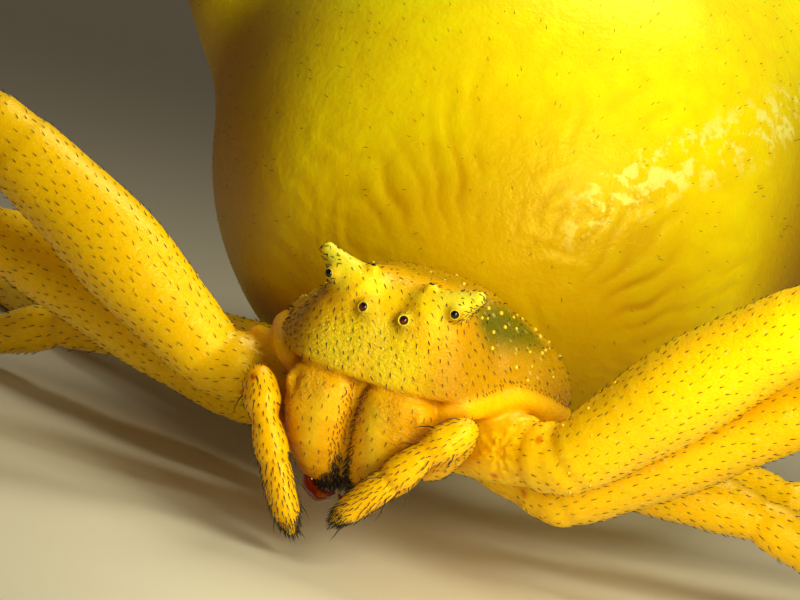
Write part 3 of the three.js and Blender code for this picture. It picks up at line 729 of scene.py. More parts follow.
def skin_material():
    """Yellow cuticle, whose tones lie where the values at the mesh's points say."""
    skin = Surface("cuticle")
    at = skin.millimetres()
    fine = skin.noise(at, 9, 4, 0.6)
    rough = skin.value("rough")
    colour = skin.mix(skin.ramp(skin.noise(at, 1.6, 3), 0.35, 0.65), (0.88, 0.45, 0.001), (0.92, 0.52, 0.001))
    colour = skin.toned(colour, "limb", (0.94, 0.57, 0.001))
    # painted highlight on the face, crown and hips
    colour = skin.toned(colour, "painted_highlight", (0.98, 0.74, 0.006), 0.85)
    mottle = skin.ramp(fine, 0.45, 0.75, 0, 0.4)
    colour = skin.mix(mottle, colour, (0.96, 0.66, 0.004))
    # darker sides, and painted shade in the crease and on the underparts
    colour = skin.toned(colour, "dark_sides_and_shade", (0.43, 0.22, 0.0), 0.88)
    # amber tones, with painted shade on the jaws' sides and in the seam
    colour = skin.toned(colour, "amber_and_shade", (0.84, 0.4, 0.001))
    # painted shade in creases and between parts
    colour = skin.toned(colour, "fold", (0.55, 0.21, 0.0), 0.7)
    # green patches on the thorax, and painted shade below the eyes
    colour = skin.toned(colour, "green_and_eye_shade", (0.12, 0.11, 0.002))
    # pale horns, and a painted highlight on the jaws' ridges
    colour = skin.toned(colour, "pale", (0.74, 0.72, 0.04))
    # pale grains, mostly on the thorax, and small red spots at the limbs' joints
    grain = skin.times(skin.ramp(skin.cells(at, 6.5), 0.1, 0.24, 1, 0), skin.value("grain"))
    colour = skin.mix(skin.times(grain, 0.55), colour, (0.98, 0.86, 0.3))
    spot = skin.times(skin.ramp(skin.cells(at, 1.9), 0.03, 0.11, 1, 0), skin.value("joint"))
    colour = skin.mix(skin.times(spot, 0.6), colour, (0.75, 0.1, 0.005))
    colour = skin.toned(colour, "red", (0.6, 0.06, 0.0), 0.75)
    skin.soft_flesh(0.35, 0.00035)
    # the uneven skin of the face has more gloss too, and its fine relief lies in level wrinkles
    shine = skin.less(skin.ramp(fine, 0.3, 0.7, 0.2, 0.38), skin.times(rough, 0.16))
    tint = skin.mix(rough, (1.0, 0.8, 0.12), (1.0, 0.94, 0.6))
    level = skin.node("ShaderNodeVectorMath", {0: at, 1: (1, 1, 1.8)}, operation="MULTIPLY")[0]
    pores = skin.times(skin.noise(level, 18, 3, 0.7), rough)
    skin.put(Base_Color=colour, Roughness=shine, Specular_Tint=tint, Normal=skin.bump(pores, 0.00007))
    return skin.made


def abdomen_material():
    skin = Surface("abdomen_skin")
    at = skin.millimetres()
    colour = skin.mix(skin.ramp(skin.noise(at, 0.55, 3), 0.35, 0.65), (0.99, 0.8, 0.001), (1.0, 0.87, 0.001))
    colour = skin.mix(skin.ramp(skin.noise(at, 5, 5, 0.65), 0.5, 0.8, 0, 0.3), colour, (1.0, 0.88, 0.004))
    colour = skin.mix(skin.ramp(skin.cells(at, 3.4), 0.25, 0.7, 0, 0.18), colour, (0.85, 0.5, 0.003))
    # painted shade in hollows, near the waist and on the flanks
    colour = skin.toned(colour, "fold", (0.42, 0.16, 0.0), 0.85)
    colour = skin.toned(colour, "dimple", (0.6, 0.3, 0.01))
    # painted highlight: pale specks strewn along the left shoulder
    highlight_specks = skin.times(skin.ramp(skin.noise(at, 4.6, 3, 0.65), 0.49, 0.6), skin.value("highlight_speck"))
    colour = skin.mix(highlight_specks, colour, (1.0, 0.95, 0.25))
    skin.soft_flesh(0.3, 0.0006)
    skin.put(Base_Color=colour, Roughness=0.36, Normal=skin.bump(skin.noise(at, 12, 3, 0.6), 0.000022, 0.6))
    return skin.made


def horny_material(name, colour, roughness, coat=0.0):
    """A hard surface of one colour, with a lighter tone here and there."""
    horn = Surface(name)
    lighter = tuple(min(1.0, c * 1.6 + 0.004) for c in colour)
    tone = horn.noise(horn.millimetres(), 30, 2)
    horn.put(Base_Color=horn.mix(tone, colour, lighter), Roughness=roughness, Coat_Weight=coat)
    return horn.made


def lens_material(name, middle, rim):
    lens = Surface(name)
    lens.put(Base_Color=lens.mix(lens.ramp(lens.value("rim"), 0.25, 0.75), middle, rim), Roughness=0.06)
    return lens.made


SKIN = skin_material()
BELLY = abdomen_material()
BRISTLE = horny_material("bristle", (0.016, 0.009, 0.001), 0.4)
BRISTLE_BLACK = horny_material("black_bristle", (0.008, 0.005, 0.001), 0.4)
LENS_RED = lens_material("front_eye_lens", (0.42, 0.004, 0.01), (0.006, 0.001, 0.001))
LENS_DARK = lens_material("side_eye_lens", (0.002, 0.001, 0.001), (0.001, 0.001, 0.001))
FANG = horny_material("fang_red", (0.11, 0.0015, 0.0), 0.08, 1.0)
RING = horny_material("eye_ring", (0.6, 0.48, 0.02), 0.25)
GRANULE = horny_material("granule", (0.6, 0.42, 0.01), 0.3)

# The skin of the head, thorax, mouthparts, palps and legs, on planes closest together at the face
lows = np.min([part.low for part in parts], 0)
highs = np.max([part.high for part in parts], 0)
STOPS = [  # for x, y and z: places, with the planes' spacing there
    [(lows[0], 0.075), (-3.4, 0.055), (-1.7, 0.028), (1.7, 0.028), (3.4, 0.055), (highs[0], 0.075)],
    [(lows[1], 0.07), (-1.3, 0.045), (-0.8, 0.028), (1.6, 0.03), (3.6, 0.055), (highs[1], 0.07)],
    [(lows[2], 0.04), (-2.7, 0.03), (0.7, 0.03), (1.2, 0.06), (highs[2], 0.07)],
]


def skin_net():
    planes = [grid_planes(stops) for stops in STOPS]
    level = np.ones([len(along) for along in planes], np.float32)
    for part in parts:
        cut = []
        for along, low, high in zip(planes, part.low, part.high):
            a, b = np.searchsorted(along, (low, high))
            cut.append(slice(max(a - 1, 0), b + 1))
        cut = tuple(cut)
        p = np.stack(np.meshgrid(*(along[k] for along, k in zip(planes, cut)), indexing="ij"), -1)
        level[cut] = soft_union(level[cut], part.field(p), part.blend)
    return surface_net(planes, level)


points, quads = skin_net()
for _ in range(2):  # the points are drawn onto the true surface
    here, slope = gradient(skin_level, points)
    step = -here / np.maximum((slope * slope).sum(1), 0.3)
    points = points + slope * np.clip(step, -0.03, 0.03)[:, None]
normals = unit(gradient(skin_level, points, 4e-3)[1])
above_floor(points)

# which piece each point is on, and how far along it
owner = np.full(len(points), -1)
share = np.zeros(len(points))
nearest = np.full(len(points), 1e9)
for i, part in enumerate(parts):
    at = np.nonzero(((points > part.low) & (points < part.high)).all(1))[0]
    if not len(at):
        continue
    away, along = part.field(points[at], True)
    closer = away < nearest[at]
    owner[at[closer]] = i
    share[at[closer]] = along[closer]
    nearest[at[closer]] = away[closer]
kinds = np.array([part.kind for part in parts])[owner]


def crowded(p, out, reaches):
    """How closely the skin stands over each point, looking out to each reach."""
    total = np.zeros(len(p))
    for reach in reaches:
        total += np.clip((reach - skin_level(p + out * reach)) / reach, 0, 1) / 3
    return total


def near_path(p, a, b, radius):
    """1 on the line from a to b, fading to 0 at the radius; both sides of the body."""
    away = from_line(mirrored(p), v3(*a), v3(*b))[0]
    return 1 - smooth_step(radius * 0.25, radius, away)


def on(*names):
    return np.isin(kinds, names).astype(float)


def smoothed(values, rounds):
    """Values averaged with those of the neighbouring points of the skin."""
    ends = np.concatenate([quads[:, [k, (k + 1) % 4]] for k in range(4)])
    near = np.bincount(ends[:, 0], minlength=len(values)) + np.bincount(ends[:, 1], minlength=len(values))
    for _ in range(rounds):
        total = np.bincount(ends[:, 0], values[ends[:, 1]], len(values))
        total += np.bincount(ends[:, 1], values[ends[:, 0]], len(values))
        values = (values + total / np.maximum(near, 1)) / 2
    return values


# Where each tone lies, as values from 0 to 1 at the skin's points
SMOOTHING_ROUNDS = 6
y, z, out_x = points[:, 1], points[:, 2], np.abs(points[:, 0])
carapace_here, jaw_here, hip_here = on("carapace"), on("chelicera"), on("coxa", "trochanter")
palp_here, inner_here = on("palp", "palp_base"), on("core", "sternum", "mouth", "waist")
rim_away = z - rim_level(y)
on_horn = smooth_step(0.06, -0.02, horn_field(points)) * smooth_step(0.42, 0.66, out_x)
jaw_across, from_ridge = Jaw.across(out_x, z), Jaw.from_ridge(out_x, z)


def patch(where, a, b, radius, strength=1.0):
    """A soft patch along a line, on one kind of piece."""
    return where * near_path(points, a, b, radius) * strength


# painted shade: darker, more orange skin where other skin crowds close over it, in creases and between parts
fold = np.clip(crowded(points, normals, (0.08, 0.18, 0.35)) * 1.5 - 0.12, 0, 1)

pale = carapace_here * on_horn * smooth_step(0.62, 0.42, y) * 0.75
pale += patch(carapace_here, (0.78, 0.08, 0.3), (0.86, 0.2, 0.45), 0.09, 0.3)
# painted highlight: a paler stripe down the ridge of each jaw's front, where it faces forward
jaw_middle = smooth_step(0.03, 0.15, share) * smooth_step(0.9, 0.6, share)
pale += jaw_here * smooth_step(0.3, 0.8, -normals[:, 1]) * bell(from_ridge, 0.32) * jaw_middle * 0.25

# painted highlight: a lighter yellow on the lower face either side of the middle, on the crown and on the
# hips
painted_highlight = np.maximum(patch(carapace_here, (0.1, -0.3, 0.0), (0.4, -0.4, -0.4), 0.66),
                    patch(carapace_here, (0, 0.2, 0.4), (0.4, 0.2, 0.35), 0.5, 0.8))
painted_highlight += hip_here * 0.5

# a dark green patch on each side of the thorax, and a fainter one behind each horn's tip
green_and_eye_shade = patch(carapace_here, (1.02, 0.9, 0.15), (1.1, 1.75, 0.0), 0.52)
green_and_eye_shade += patch(carapace_here, (0.98, 0.42, 0.3), (1.1, 0.75, 0.15), 0.2, 0.4)
# painted shade: a green-olive tone below each eye's mound
for eye, seat in zip(EYES, SEATS):
    green_and_eye_shade += patch(carapace_here, seat, seat - v3(0, 0, eye.radius), eye.radius * 3.4, eye.shade)

# amber on the hips, the skin fold, the underparts, the palps, a patch on the crown and along the rim; on the
# sloping sides of each jaw beside its ridge it is painted shade
jaw_side_shade = np.maximum(smooth_step(-0.15, -0.5, from_ridge), smooth_step(0.5, 1.0, from_ridge) * 0.6)
amber_and_shade = (hip_here + on("fold")) * 0.12 + on("fold") * 0.2 + inner_here * 0.35
amber_and_shade += jaw_here * 0.3 + jaw_here * jaw_side_shade * 0.7
amber_and_shade += (palp_here + on("palp_tip")) * 0.5 + palp_here * smooth_step(0.86, 1.0, share) * 0.4
amber_and_shade += patch(carapace_here, (0, 0.42, 0.4), (0.3, 0.65, 0.42), 0.34, 0.6)
amber_and_shade += carapace_here * smooth_step(0.14, 0.02, np.abs(rim_away)) * 0.3

# the sides of the head and the thorax are darker than the face, partly in their own colour and partly as
# painted shade; painted shade also lies along the crease between head and thorax and on the underparts, and
# the jaws are a little darker
dark_sides_and_shade = np.maximum(smooth_step(0.5, 1.1, y), smooth_step(0.55, 1.0, out_x))
dark_sides_and_shade = np.maximum(dark_sides_and_shade, crease_near(points))
dark_sides_and_shade = carapace_here * dark_sides_and_shade * (1 - on_horn * smooth_step(0.6, 0.4, y))
dark_sides_and_shade += inner_here * 0.3 + jaw_here * 0.2

# red spots round the hips, a mark on the knee of one palp, and the jaws' tips
RED_SPOTS = [(2.04, 0.35, -0.86, 0.07), (1.56, 0.1, -1.475, 0.065), (1.74, 0.7, -1.74, 0.06),
             (1.16, -0.42, -1.03, 0.07)]
red = np.zeros(len(points))
for spot_x, spot_y, spot_z, size in RED_SPOTS:
    ends = (spot_x, spot_y - 0.35, spot_z), (spot_x, spot_y + 0.35, spot_z)
    red = np.maximum(red, near_path(points, *ends, size))
red *= hip_here + on("palp") * (points[:, 0] < 0)
red = np.maximum(red, patch(jaw_here, (0.5, -0.12, -1.98), (0.4, 0.0, -2.1), 0.2, 0.6))

clypeus = carapace_here * smooth_step(0.35, -0.05, y) * smooth_step(0.05, -0.3, z) * 0.2
clypeus += patch(carapace_here, (0.25, -0.3, -0.15), (0.5, -0.3, -0.6), 0.55)
rough = 0.15 + 0.85 * clypeus + carapace_here * 0.05
rough += patch(jaw_here, (0.5, -0.3, -0.95), (0.7, -0.3, -1.1), 0.3, 0.7)

tones = {
    "pale": pale, "green_and_eye_shade": green_and_eye_shade, "amber_and_shade": amber_and_shade, "rough": rough, "dark_sides_and_shade": dark_sides_and_shade, "painted_highlight": painted_highlight,
    "grain": carapace_here * smooth_step(0.5, 1.1, y) * 0.45 + on("femur") * 0.2,
    "joint": hip_here + on("femur") * (1 - smooth_step(0.03, 0.1, share)),
    "limb": on("femur", "tibia", "foot", "palp", "palp_tip", "palp_base"),
}
tones = {name: smoothed(values, SMOOTHING_ROUNDS) for name, values in tones.items()}

# Fine relief: the rough clypeus, the seam over the jaws and puckers round the joints of the hips
SEAM_DEPTH, PUCKER_HEIGHT, PUCKERS = 0.024, 0.007, 17
HIP_PUCKER, HIP_RAYS = v3(1.59, 0, -1.17), 9  # creases run out from it on the front of the first coxa
grit = np.array([noise.noise(Vector(q * v3(9, 9, 15))) + 0.5 * noise.noise(Vector(q * 22.0)) for q in points])
jaw_patch = patch(jaw_here, (0.5, -0.3, -0.98), (0.68, -0.3, -1.12), 0.26)
height = grit * (0.0012 + 0.0045 * clypeus + 0.006 * jaw_patch)
seam = bell(rim_away + 0.012, 0.028) * smooth_step(0.35, 0.05, y) * smooth_step(1.0, 0.8, out_x)
height = height - SEAM_DEPTH * seam
# painted shade: amber in the groove of the seam over the jaws
tones["amber_and_shade"] = np.maximum(tones["amber_and_shade"], seam * 0.5)
# the fold value is painted shade in creases and between parts
tones["fold"], tones["red"] = fold, red


def around_limb(part, at):
    """The angle round a limb at each of its points, and the limb's direction there."""
    centre, ahead = part.place(share[at])
    across = unit(np.cross(ahead, v3(0, 0, 1)))
    over = np.cross(across, ahead)
    away = points[at] - centre
    return np.arctan2((away * over).sum(1), (away * across).sum(1)), ahead


for i, part in enumerate(parts):
    if part.kind not in ("coxa", "trochanter"):
        continue
    at = np.nonzero(owner == i)[0]
    turn = around_limb(part, at)[0]
    coxa_end, trochanter_end = smooth_step(0.55, 0.95, share[at]), 1 - smooth_step(0.05, 0.4, share[at])
    edge = coxa_end if part.kind == "coxa" else trochanter_end
    height[at] += PUCKER_HEIGHT * np.sin(turn * PUCKERS + grit[at] * 3.5) * edge
    if part.name.endswith("_1_coxa"):
        out = mirrored(points[at]) - HIP_PUCKER
        far = np.hypot(out[:, 0], out[:, 2])
        rays = np.sin(np.arctan2(out[:, 2], out[:, 0]) * HIP_RAYS + grit[at] * 2)
        crease = 0.014 * rays * smooth_step(0.04, 0.12, far) - 0.02 * (far < 0.08)
        height[at] += crease * bell(far, 0.27)
points = points + normals * height[:, None]
above_floor(points)

skin = large_piece("skin", points, quads, SKIN)
for name, values in tones.items():
    add_values(skin, name, np.clip(values, 0, 1))
NOT_SKIN = ("eye_", "fang_", "abdomen", "spinnerets")
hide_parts(*[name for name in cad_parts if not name.startswith(NOT_SKIN)])

# The abdomen, in a frame of its own that swings and pitches about the waist
WAIST = v3(0, 3.78, -1.05)
SWING, PITCH = math.radians(22), math.radians(8)
swing = np.array([[math.cos(SWING), -math.sin(SWING), 0], [math.sin(SWING), math.cos(SWING), 0], [0, 0, 1]])
pitch = np.array([[1, 0, 0], [0, math.cos(PITCH), -math.sin(PITCH)], [0, math.sin(PITCH), math.cos(PITCH)]])
ABDOMEN_TURN = swing @ pitch
ABDOMEN_CENTRE = v3(0, 3.6, 1.3)
ABDOMEN_FORMS = [
    (v3(0, 3.45, 1.02), v3(3.7, 3.4, 3.42)),
    (v3(0, 1.95, 0.8), v3(2.75, 1.85, 2.0)),
    (v3(0, 4.75, 2.0), v3(4.1, 1.8, 2.15)),
    (v3(0, 5.3, 0.2), v3(2.5, 1.75, 1.7)),
]
CORNER, CORNER_RADIUS = v3(3.55, 5.2, 2.5), 0.85
FRONT_END, REAR_END = v3(0, 0.1, 0.2), v3(0, 6.9, 0.0)
# sunken muscle marks on the back: one in front and two pairs behind
DIMPLES = [(0, 2.2), (0.95, 3.2), (-0.95, 3.2), (1.15, 4.4), (-1.15, 4.4)]
WRINKLE_HEIGHT, DENT_HEIGHT, PLEAT_HEIGHT, DIMPLE_DEPTH = 0.012, 0.014, 0.008, 0.05
FRONT_SPACING, REAR_SPACING, PLEATS = 0.42, 0.46, 46  # of the wrinkles, and pleats in a full turn
SHOULDER = [(0.41, 0.03, 1.86), (1.01, 0.32, 2.28), (1.75, 0.87, 2.64), (2.52, 1.78, 2.88), (3.0, 2.76, 2.9)]


def abdomen_field(p):
    shape = ellipsoid(p, *ABDOMEN_FORMS[0])
    for form in ABDOMEN_FORMS[1:]:
        shape = soft_union(shape, ellipsoid(p, *form), 0.9)
    corner = np.linalg.norm(mirrored(p) - CORNER, axis=-1) - CORNER_RADIUS
    return soft_union(shape, corner, 1.1)


def from_abdomen(p):
    """From the abdomen's frame to the head's."""
    return p @ ABDOMEN_TURN.T + WAIST


def smooth_abdomen():
    """Points and triangles of the abdomen, from a ball whose points go out to the surface."""
    ball, triangles = ball_of(bmesh.ops.create_icosphere, subdivisions=8, radius=1)
    ball = unit(ball)
    inner, outer = np.zeros(len(ball)), np.full(len(ball), 7.0)
    for _ in range(22):
        middle = (inner + outer) / 2
        within = abdomen_field(ball * middle[:, None] + ABDOMEN_CENTRE) < 0
        inner = np.where(within, middle, inner)
        outer = np.where(within, outer, middle)
    return ball * inner[:, None] + ABDOMEN_CENTRE, triangles


def noise_at(q, scale, shift=0.0):
    return noise.noise(Vector(q * scale + shift))


def wrinkles(p, from_front, from_rear):
    """Folds that run round the waist and the rear and fade on the back, pleats that fan out, and dents."""
    near_front = 1 - smooth_step(0.8, 4.6, from_front)
    near_rear = 1 - smooth_step(0.5, 4.2, from_rear)
    fan = smooth_step(1.1, 1.9, from_front) * (1 - smooth_step(2.4, 4.4, from_front))
    around = np.arctan2(p[:, 0], p[:, 2] - 0.2)
    wrinkle, pleat, dent = np.zeros((3, len(p)))
    for i, q in enumerate(p):
        wander = noise_at(q, 0.55) * 2.2 + noise_at(q, 1.7) * 0.9 + noise_at(q, 4.3) * 0.25
        a = math.sin((from_front[i] + wander * 0.5) * 2 * math.pi / FRONT_SPACING) * near_front[i]
        b = math.sin((from_rear[i] + wander * 0.45) * 2 * math.pi / REAR_SPACING) * near_rear[i]
        wrinkle[i] = (a * 0.6 + b * 0.7) * max(0.55 + 0.9 * noise_at(q, 1.1, v3(7, 3, 1)), 0.0)
        dent[i] = noise_at(q, 1.3) * 0.6 + noise_at(q, 3.1) * 0.3
        wave = math.sin(around[i] * PLEATS + 5 * noise_at(q, 0.8) + 3 * noise_at(q, 2.4))
        pleat[i] = wave * max(0.5 + 0.9 * noise_at(q, 1.4, v3(2, 9, 4)), 0.0) * fan[i]
    return wrinkle, pleat, dent


shape, triangles = smooth_abdomen()
out = unit(gradient(abdomen_field, shape)[1])
from_front = np.linalg.norm(shape - FRONT_END, axis=1)
from_rear = np.linalg.norm(shape - REAR_END, axis=1)
wrinkle, pleat, dent = wrinkles(shape, from_front, from_rear)
dimple = np.zeros(len(shape))
for x, y in DIMPLES:
    away = np.hypot(shape[:, 0] - x, shape[:, 1] - y)
    dimple = np.maximum(dimple, bell(away, 0.13) * (shape[:, 2] > 2))
height = wrinkle * WRINKLE_HEIGHT + dent * DENT_HEIGHT + pleat * PLEAT_HEIGHT - dimple * DIMPLE_DEPTH
shape = shape + out * height[:, None]
abdomen_points = from_abdomen(shape)
above_floor(abdomen_points)
abdomen_normals = out @ ABDOMEN_TURN.T

# painted highlight: pale specks along the left shoulder only
highlight_speck = np.zeros(len(shape))
for a, b in zip(SHOULDER, SHOULDER[1:]):
    highlight_speck = np.maximum(highlight_speck, near_path(shape, a, b, 0.5))
highlight_speck = highlight_speck * smooth_step(0.2, 1.0, shape[:, 0]) * 0.75
grooves = np.clip(-pleat, 0, 1)
# painted shade: darker, more orange where skin crowds close, in the hollows of wrinkles and pleats, towards
# the waist and on both flanks
painted_shade = np.clip(crowded(abdomen_points, abdomen_normals, (0.15, 0.4, 0.8)) * 1.3, 0, 1)
for shade in (smooth_step(0.35, 1.0, np.abs(wrinkle)) * np.clip(-wrinkle, 0, 1) * 0.25,
              grooves * 0.35,
              (1 - smooth_step(1.7, 3.4, from_front)) * (0.64 + 0.3 * grooves),
              smooth_step(0.62, 1.0, np.abs(out[:, 0]))):
    painted_shade = np.maximum(painted_shade, shade)

abdomen = large_piece("abdomen_skin", abdomen_points, triangles, BELLY)
add_values(abdomen, "fold", painted_shade)
add_values(abdomen, "dimple", dimple * 0.35)
add_values(abdomen, "highlight_speck", highlight_speck)
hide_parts("abdomen")


# Tubes along paths, for spinnerets, fangs and claws
def tube(path, radii, sides):
    ahead = unit(np.gradient(path, axis=0))
    across = unit(np.cross(ahead, v3(0.13, 0.21, 0.97)))
    over = np.cross(ahead, across)
    turn = np.linspace(0, 2 * math.pi, sides, endpoint=False)
    ring = np.cos(turn)[None, :, None] * across[:, None] + np.sin(turn)[None, :, None] * over[:, None]
    rings = (path[:, None] + ring * radii[:, None, None]).reshape(-1, 3)
    ends = path[:1] - ahead[:1] * radii[0] * 0.5, path[-1:] + ahead[-1:] * radii[-1]
    faces = []
    last = (len(path) - 1) * sides
    for k in range(sides):
        following = (k + 1) % sides
        for i in range(0, last, sides):
            faces.append((i + k, i + following, i + following + sides, i + k + sides))
        faces.append((last + sides, following, k))
        faces.append((last + sides + 1, last + k, last + following))
    return np.concatenate([rings, *ends]), faces


def joined(pieces):
    points, faces, base = [], [], 0
    for piece_points, piece_faces in pieces:
        points.append(piece_points)
        faces += [tuple(i + base for i in face) for face in piece_faces]
        base += len(piece_points)
    return np.concatenate(points), faces


REARWARD = unit(v3(0, 0.97, -0.24))
REAR_START = v3(0, 4.2, 0.4)
SPINNERETS = [(-1, 0.8, 1), (1, 0.8, 1), (-0.9, -0.8, 1), (0.9, -0.8, 1), (-0.35, 0, 0.6), (0.35, 0, 0.6)]
rear = 0.0
while abdomen_field((REAR_START + REARWARD * rear)[None])[0] < 0:
    rear += 0.01
cones = []
for x, z, size in SPINNERETS:
    root = REAR_START + REARWARD * (rear - 0.12) + v3(x * 0.11, 0, z * 0.11)
    tip = root + REARWARD * 0.72 * size + v3(x * 0.05, 0, z * 0.05)
    table = [(0, 0.19 * size), (0.55, 0.15 * size), (0.68, 0.12 * size), (0.75, 0.13 * size), (1, 0.05)]
    cone, faces = tube(resampled([root, tip], 9), smooth_radii(table, np.linspace(0, 1, 9)), 14)
    cones.append((from_abdomen(cone), faces))
spinnerets = small_piece("spinneret_skin", *joined(cones), SKIN)
for name in tones:
    add_values(spinnerets, name, np.full(len(spinnerets.data.vertices), 0.5 if name == "amber_and_shade" else 0.0))
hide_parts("spinnerets")


# Eyes: a lens, and the pale ring of skin that holds it
def hoop(centre, line, radius, thickness, turns=36, sides=10):
    """A round ring about a line."""
    across = unit(np.cross(line, v3(0.2, 0.3, 0.9)))
    over = np.cross(line, across)
    points, faces = [], []
    for i in range(turns):
        t = 2 * math.pi * i / turns
        outward = across * math.cos(t) + over * math.sin(t)
        for k in range(sides):
            s = 2 * math.pi * k / sides
            section = outward * math.cos(s) + line * math.sin(s)
            points.append(centre + outward * radius + section * thickness)
            this, following = i * sides, (i + 1) % turns * sides
            faces.append((this + k, this + (k + 1) % sides, following + (k + 1) % sides, following + k))
    return np.array(points), faces


for eye, seat in zip(EYES, SEATS):
    for side, word in SIDES:
        line = unit(eye.look) * v3(side, 1, 1)
        centre = seat * v3(side, 1, 1) + line * eye.radius * EYE_MOUND * eye.lift
        ball, faces = ball_of(bmesh.ops.create_uvsphere, u_segments=28, v_segments=20,
                              radius=eye.radius * 1.02)
        ball = ball @ np.array(Vector(line).to_track_quat("Z", "Y").to_matrix()).T
        material = LENS_RED if eye.name == "front_middle" else LENS_DARK
        lens = small_piece(f"lens_{eye.name}_{word}", ball + centre, faces, material)
        ahead, below = unit(ball) @ line, unit(ball) @ v3(0, 0.3, -1)
        add_values(lens, "rim", np.clip(1.25 - ahead - 0.25 * below, 0, 1) * 1.4)
        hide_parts(f"eye_{eye.name}_{word}")
        hoop_centre = centre + line * eye.radius * eye.ring_lift
        loop, faces = hoop(hoop_centre, line, eye.radius * 1.06, eye.radius * eye.ring_thickness)
        ring = small_piece(f"ring_{eye.name}_{word}", loop, faces, RING)

# Fangs and claws
FANG_PATH = [(0.41, 0.06, -2.0), (0.4, 0.01, -2.13), (0.25, -0.08, -2.195), (0.11, -0.13, -2.165),
             (0.02, -0.14, -2.1)]
FANG_RADII = [(0, 0.085), (0.25, 0.085), (0.6, 0.075), (0.85, 0.045), (1, 0.012)]
for side, word in SIDES:
    path = curved([v3(side, 1, 1) * v3(*place) for place in FANG_PATH], 24)
    radii = smooth_radii(FANG_RADII, np.linspace(0, 1, 24))
    fang = small_piece(f"fang_skin_{word}", *tube(path, radii, 14), FANG)
    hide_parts(f"fang_{word}")

claw_tubes = []
for tip, ahead in claw_places:
    across = unit(np.cross(ahead, v3(0, 0, 1)))
    for way in (-1, 1):
        start = tip + ahead * 0.06 + across * way * 0.05 + v3(0, 0, 0.05)
        bend = start + ahead * 0.13 + v3(0, 0, 0.015)
        end = start + ahead * 0.2 + across * way * 0.02 - v3(0, 0, 0.05)
        path = curved([start, bend, end], 8)
        above_floor(path, 0.03)
        claw_tubes.append(tube(path, np.linspace(0.032, 0.008, 8), 8))
claws = small_piece("claws", *joined(claw_tubes), FANG)

# Bristles and granules, each with its place in a square of eight by eight cells for the OFBake map
CELLS, CELL_MARGIN = 8, 0.04
TRUNK_CELL, ABDOMEN_CELL = 63, 62
BRISTLE_SIDES = 4
BRISTLE_RINGS = [(0.0, 1.0), (0.3, 0.86), (0.65, 0.55)]  # share of the length, and of the width there
BRISTLE_ROOT = 0.012  # how deep each one starts in the skin
BRISTLE_PATCH, BEAD_PATCH = 0.003, 0.0015  # their sizes on the map
CANDIDATES = 4  # places picked for each one that is kept, at most


def uv_cell(cell, u, v):
    """A place in one cell of the map."""
    u, v = (CELL_MARGIN + (1 - 2 * CELL_MARGIN) * share for share in (u, v))
    return (cell % CELLS + u) / CELLS, (cell // CELLS + v) / CELLS


def copies(faces, count, size):
    """The faces of one small form, for as many copies of it as are wanted."""
    return (np.array(faces)[None] + (np.arange(count) * size)[:, None, None]).reshape(-1, 3)


def bristle_form():
    """The triangles of one bristle, and its patch on the map."""
    sides, rings = BRISTLE_SIDES, len(BRISTLE_RINGS)
    faces = []
    for k in range(rings - 1):
        for s in range(sides):
            a, b = k * sides + s, k * sides + (s + 1) % sides
            faces += [(a, b, b + sides), (a, b + sides, a + sides)]
    last = (rings - 1) * sides
    faces += [(last + s, last + (s + 1) % sides, last + sides) for s in range(sides)]
    patch = [(s / (sides - 1) - 0.5, k / rings - 0.5) for k in range(rings) for s in range(sides)]
    return faces, np.array(patch + [(0, 0.5)]) * BRISTLE_PATCH


def bristles(name, roots, erect, lie, length, width, cells, material, lengths=(0.7, 1.3), widths=None):
    """Curved tapering bristles in one mesh: they rise one way and bend over another."""
    n = len(roots)
    length = length * random.uniform(*lengths, n)
    width = np.full(n, width) * (random.uniform(*widths, n) if widths else 1.0)
    erect, lie = unit(erect), unit(lie)
    p0 = roots - erect * BRISTLE_ROOT
    p1 = p0 + erect * length[:, None] * 0.5
    p2 = p1 + lie * length[:, None] * 0.5
    across = unit(np.cross(unit(2 * (p1 - p0)), random.normal(size=(n, 3))))
    points = []
    for t, taper in BRISTLE_RINGS:
        centre = (1 - t) ** 2 * p0 + 2 * t * (1 - t) * p1 + t * t * p2
        ahead = unit(2 * (1 - t) * (p1 - p0) + 2 * t * (p2 - p1))
        side_way = unit(across - (across * ahead).sum(1)[:, None] * ahead)
        over = np.cross(ahead, side_way)
        for s in range(BRISTLE_SIDES):
            a = 2 * math.pi * s / BRISTLE_SIDES
            outward = side_way * math.cos(a) + over * math.sin(a)
            points.append(centre + outward * (width * taper / 2)[:, None])
    points = np.stack(points + [p2], 1)
    faces, patch = bristle_form()
    made = large_piece(name, points.reshape(-1, 3), copies(faces, n, points.shape[1]), material)
    add_unwrap(made, cells, patch)


def granules(name, picks, radii, cells):
    """Pale beads half sunk in the skin."""
    ball, faces = ball_of(bmesh.ops.create_icosphere, subdivisions=2, radius=1)
    centres = points[picks] + normals[picks] * radii[:, None] * 0.1
    beads = centres[:, None] + ball[None] * radii[:, None, None]
    made = large_piece(name, beads.reshape(-1, 3), copies(faces, len(picks), len(ball)), GRANULE)
    add_unwrap(made, cells, ball[:, :2] * BEAD_PATCH)


def scattered(weights, spacing, most):
    """Points of the skin picked at random by weight, no two nearer than the spacing."""
    most = int(most * COAT_SHARE)
    weights = skin_area * weights
    chance = weights / weights.sum()
    size = min(most * CANDIDATES, (weights > 0).sum())
    picks = random.choice(len(weights), size=size, replace=False, p=chance)
    steps = [(a, b, c) for a in (-1, 0, 1) for b in (-1, 0, 1) for c in (-1, 0, 1)]
    kept, grid = [], {}
    for i in picks:
        a, b, c = (points[i] // spacing).astype(int)
        near = [j for da, db, dc in steps for j in grid.get((a + da, b + db, c + dc), ())]
        if near and ((points[near] - points[i]) ** 2).sum(1).min() < spacing * spacing:
            continue
        grid.setdefault((a, b, c), []).append(i)
        kept.append(i)
        if len(kept) >= most:
            break
    return np.array(kept)


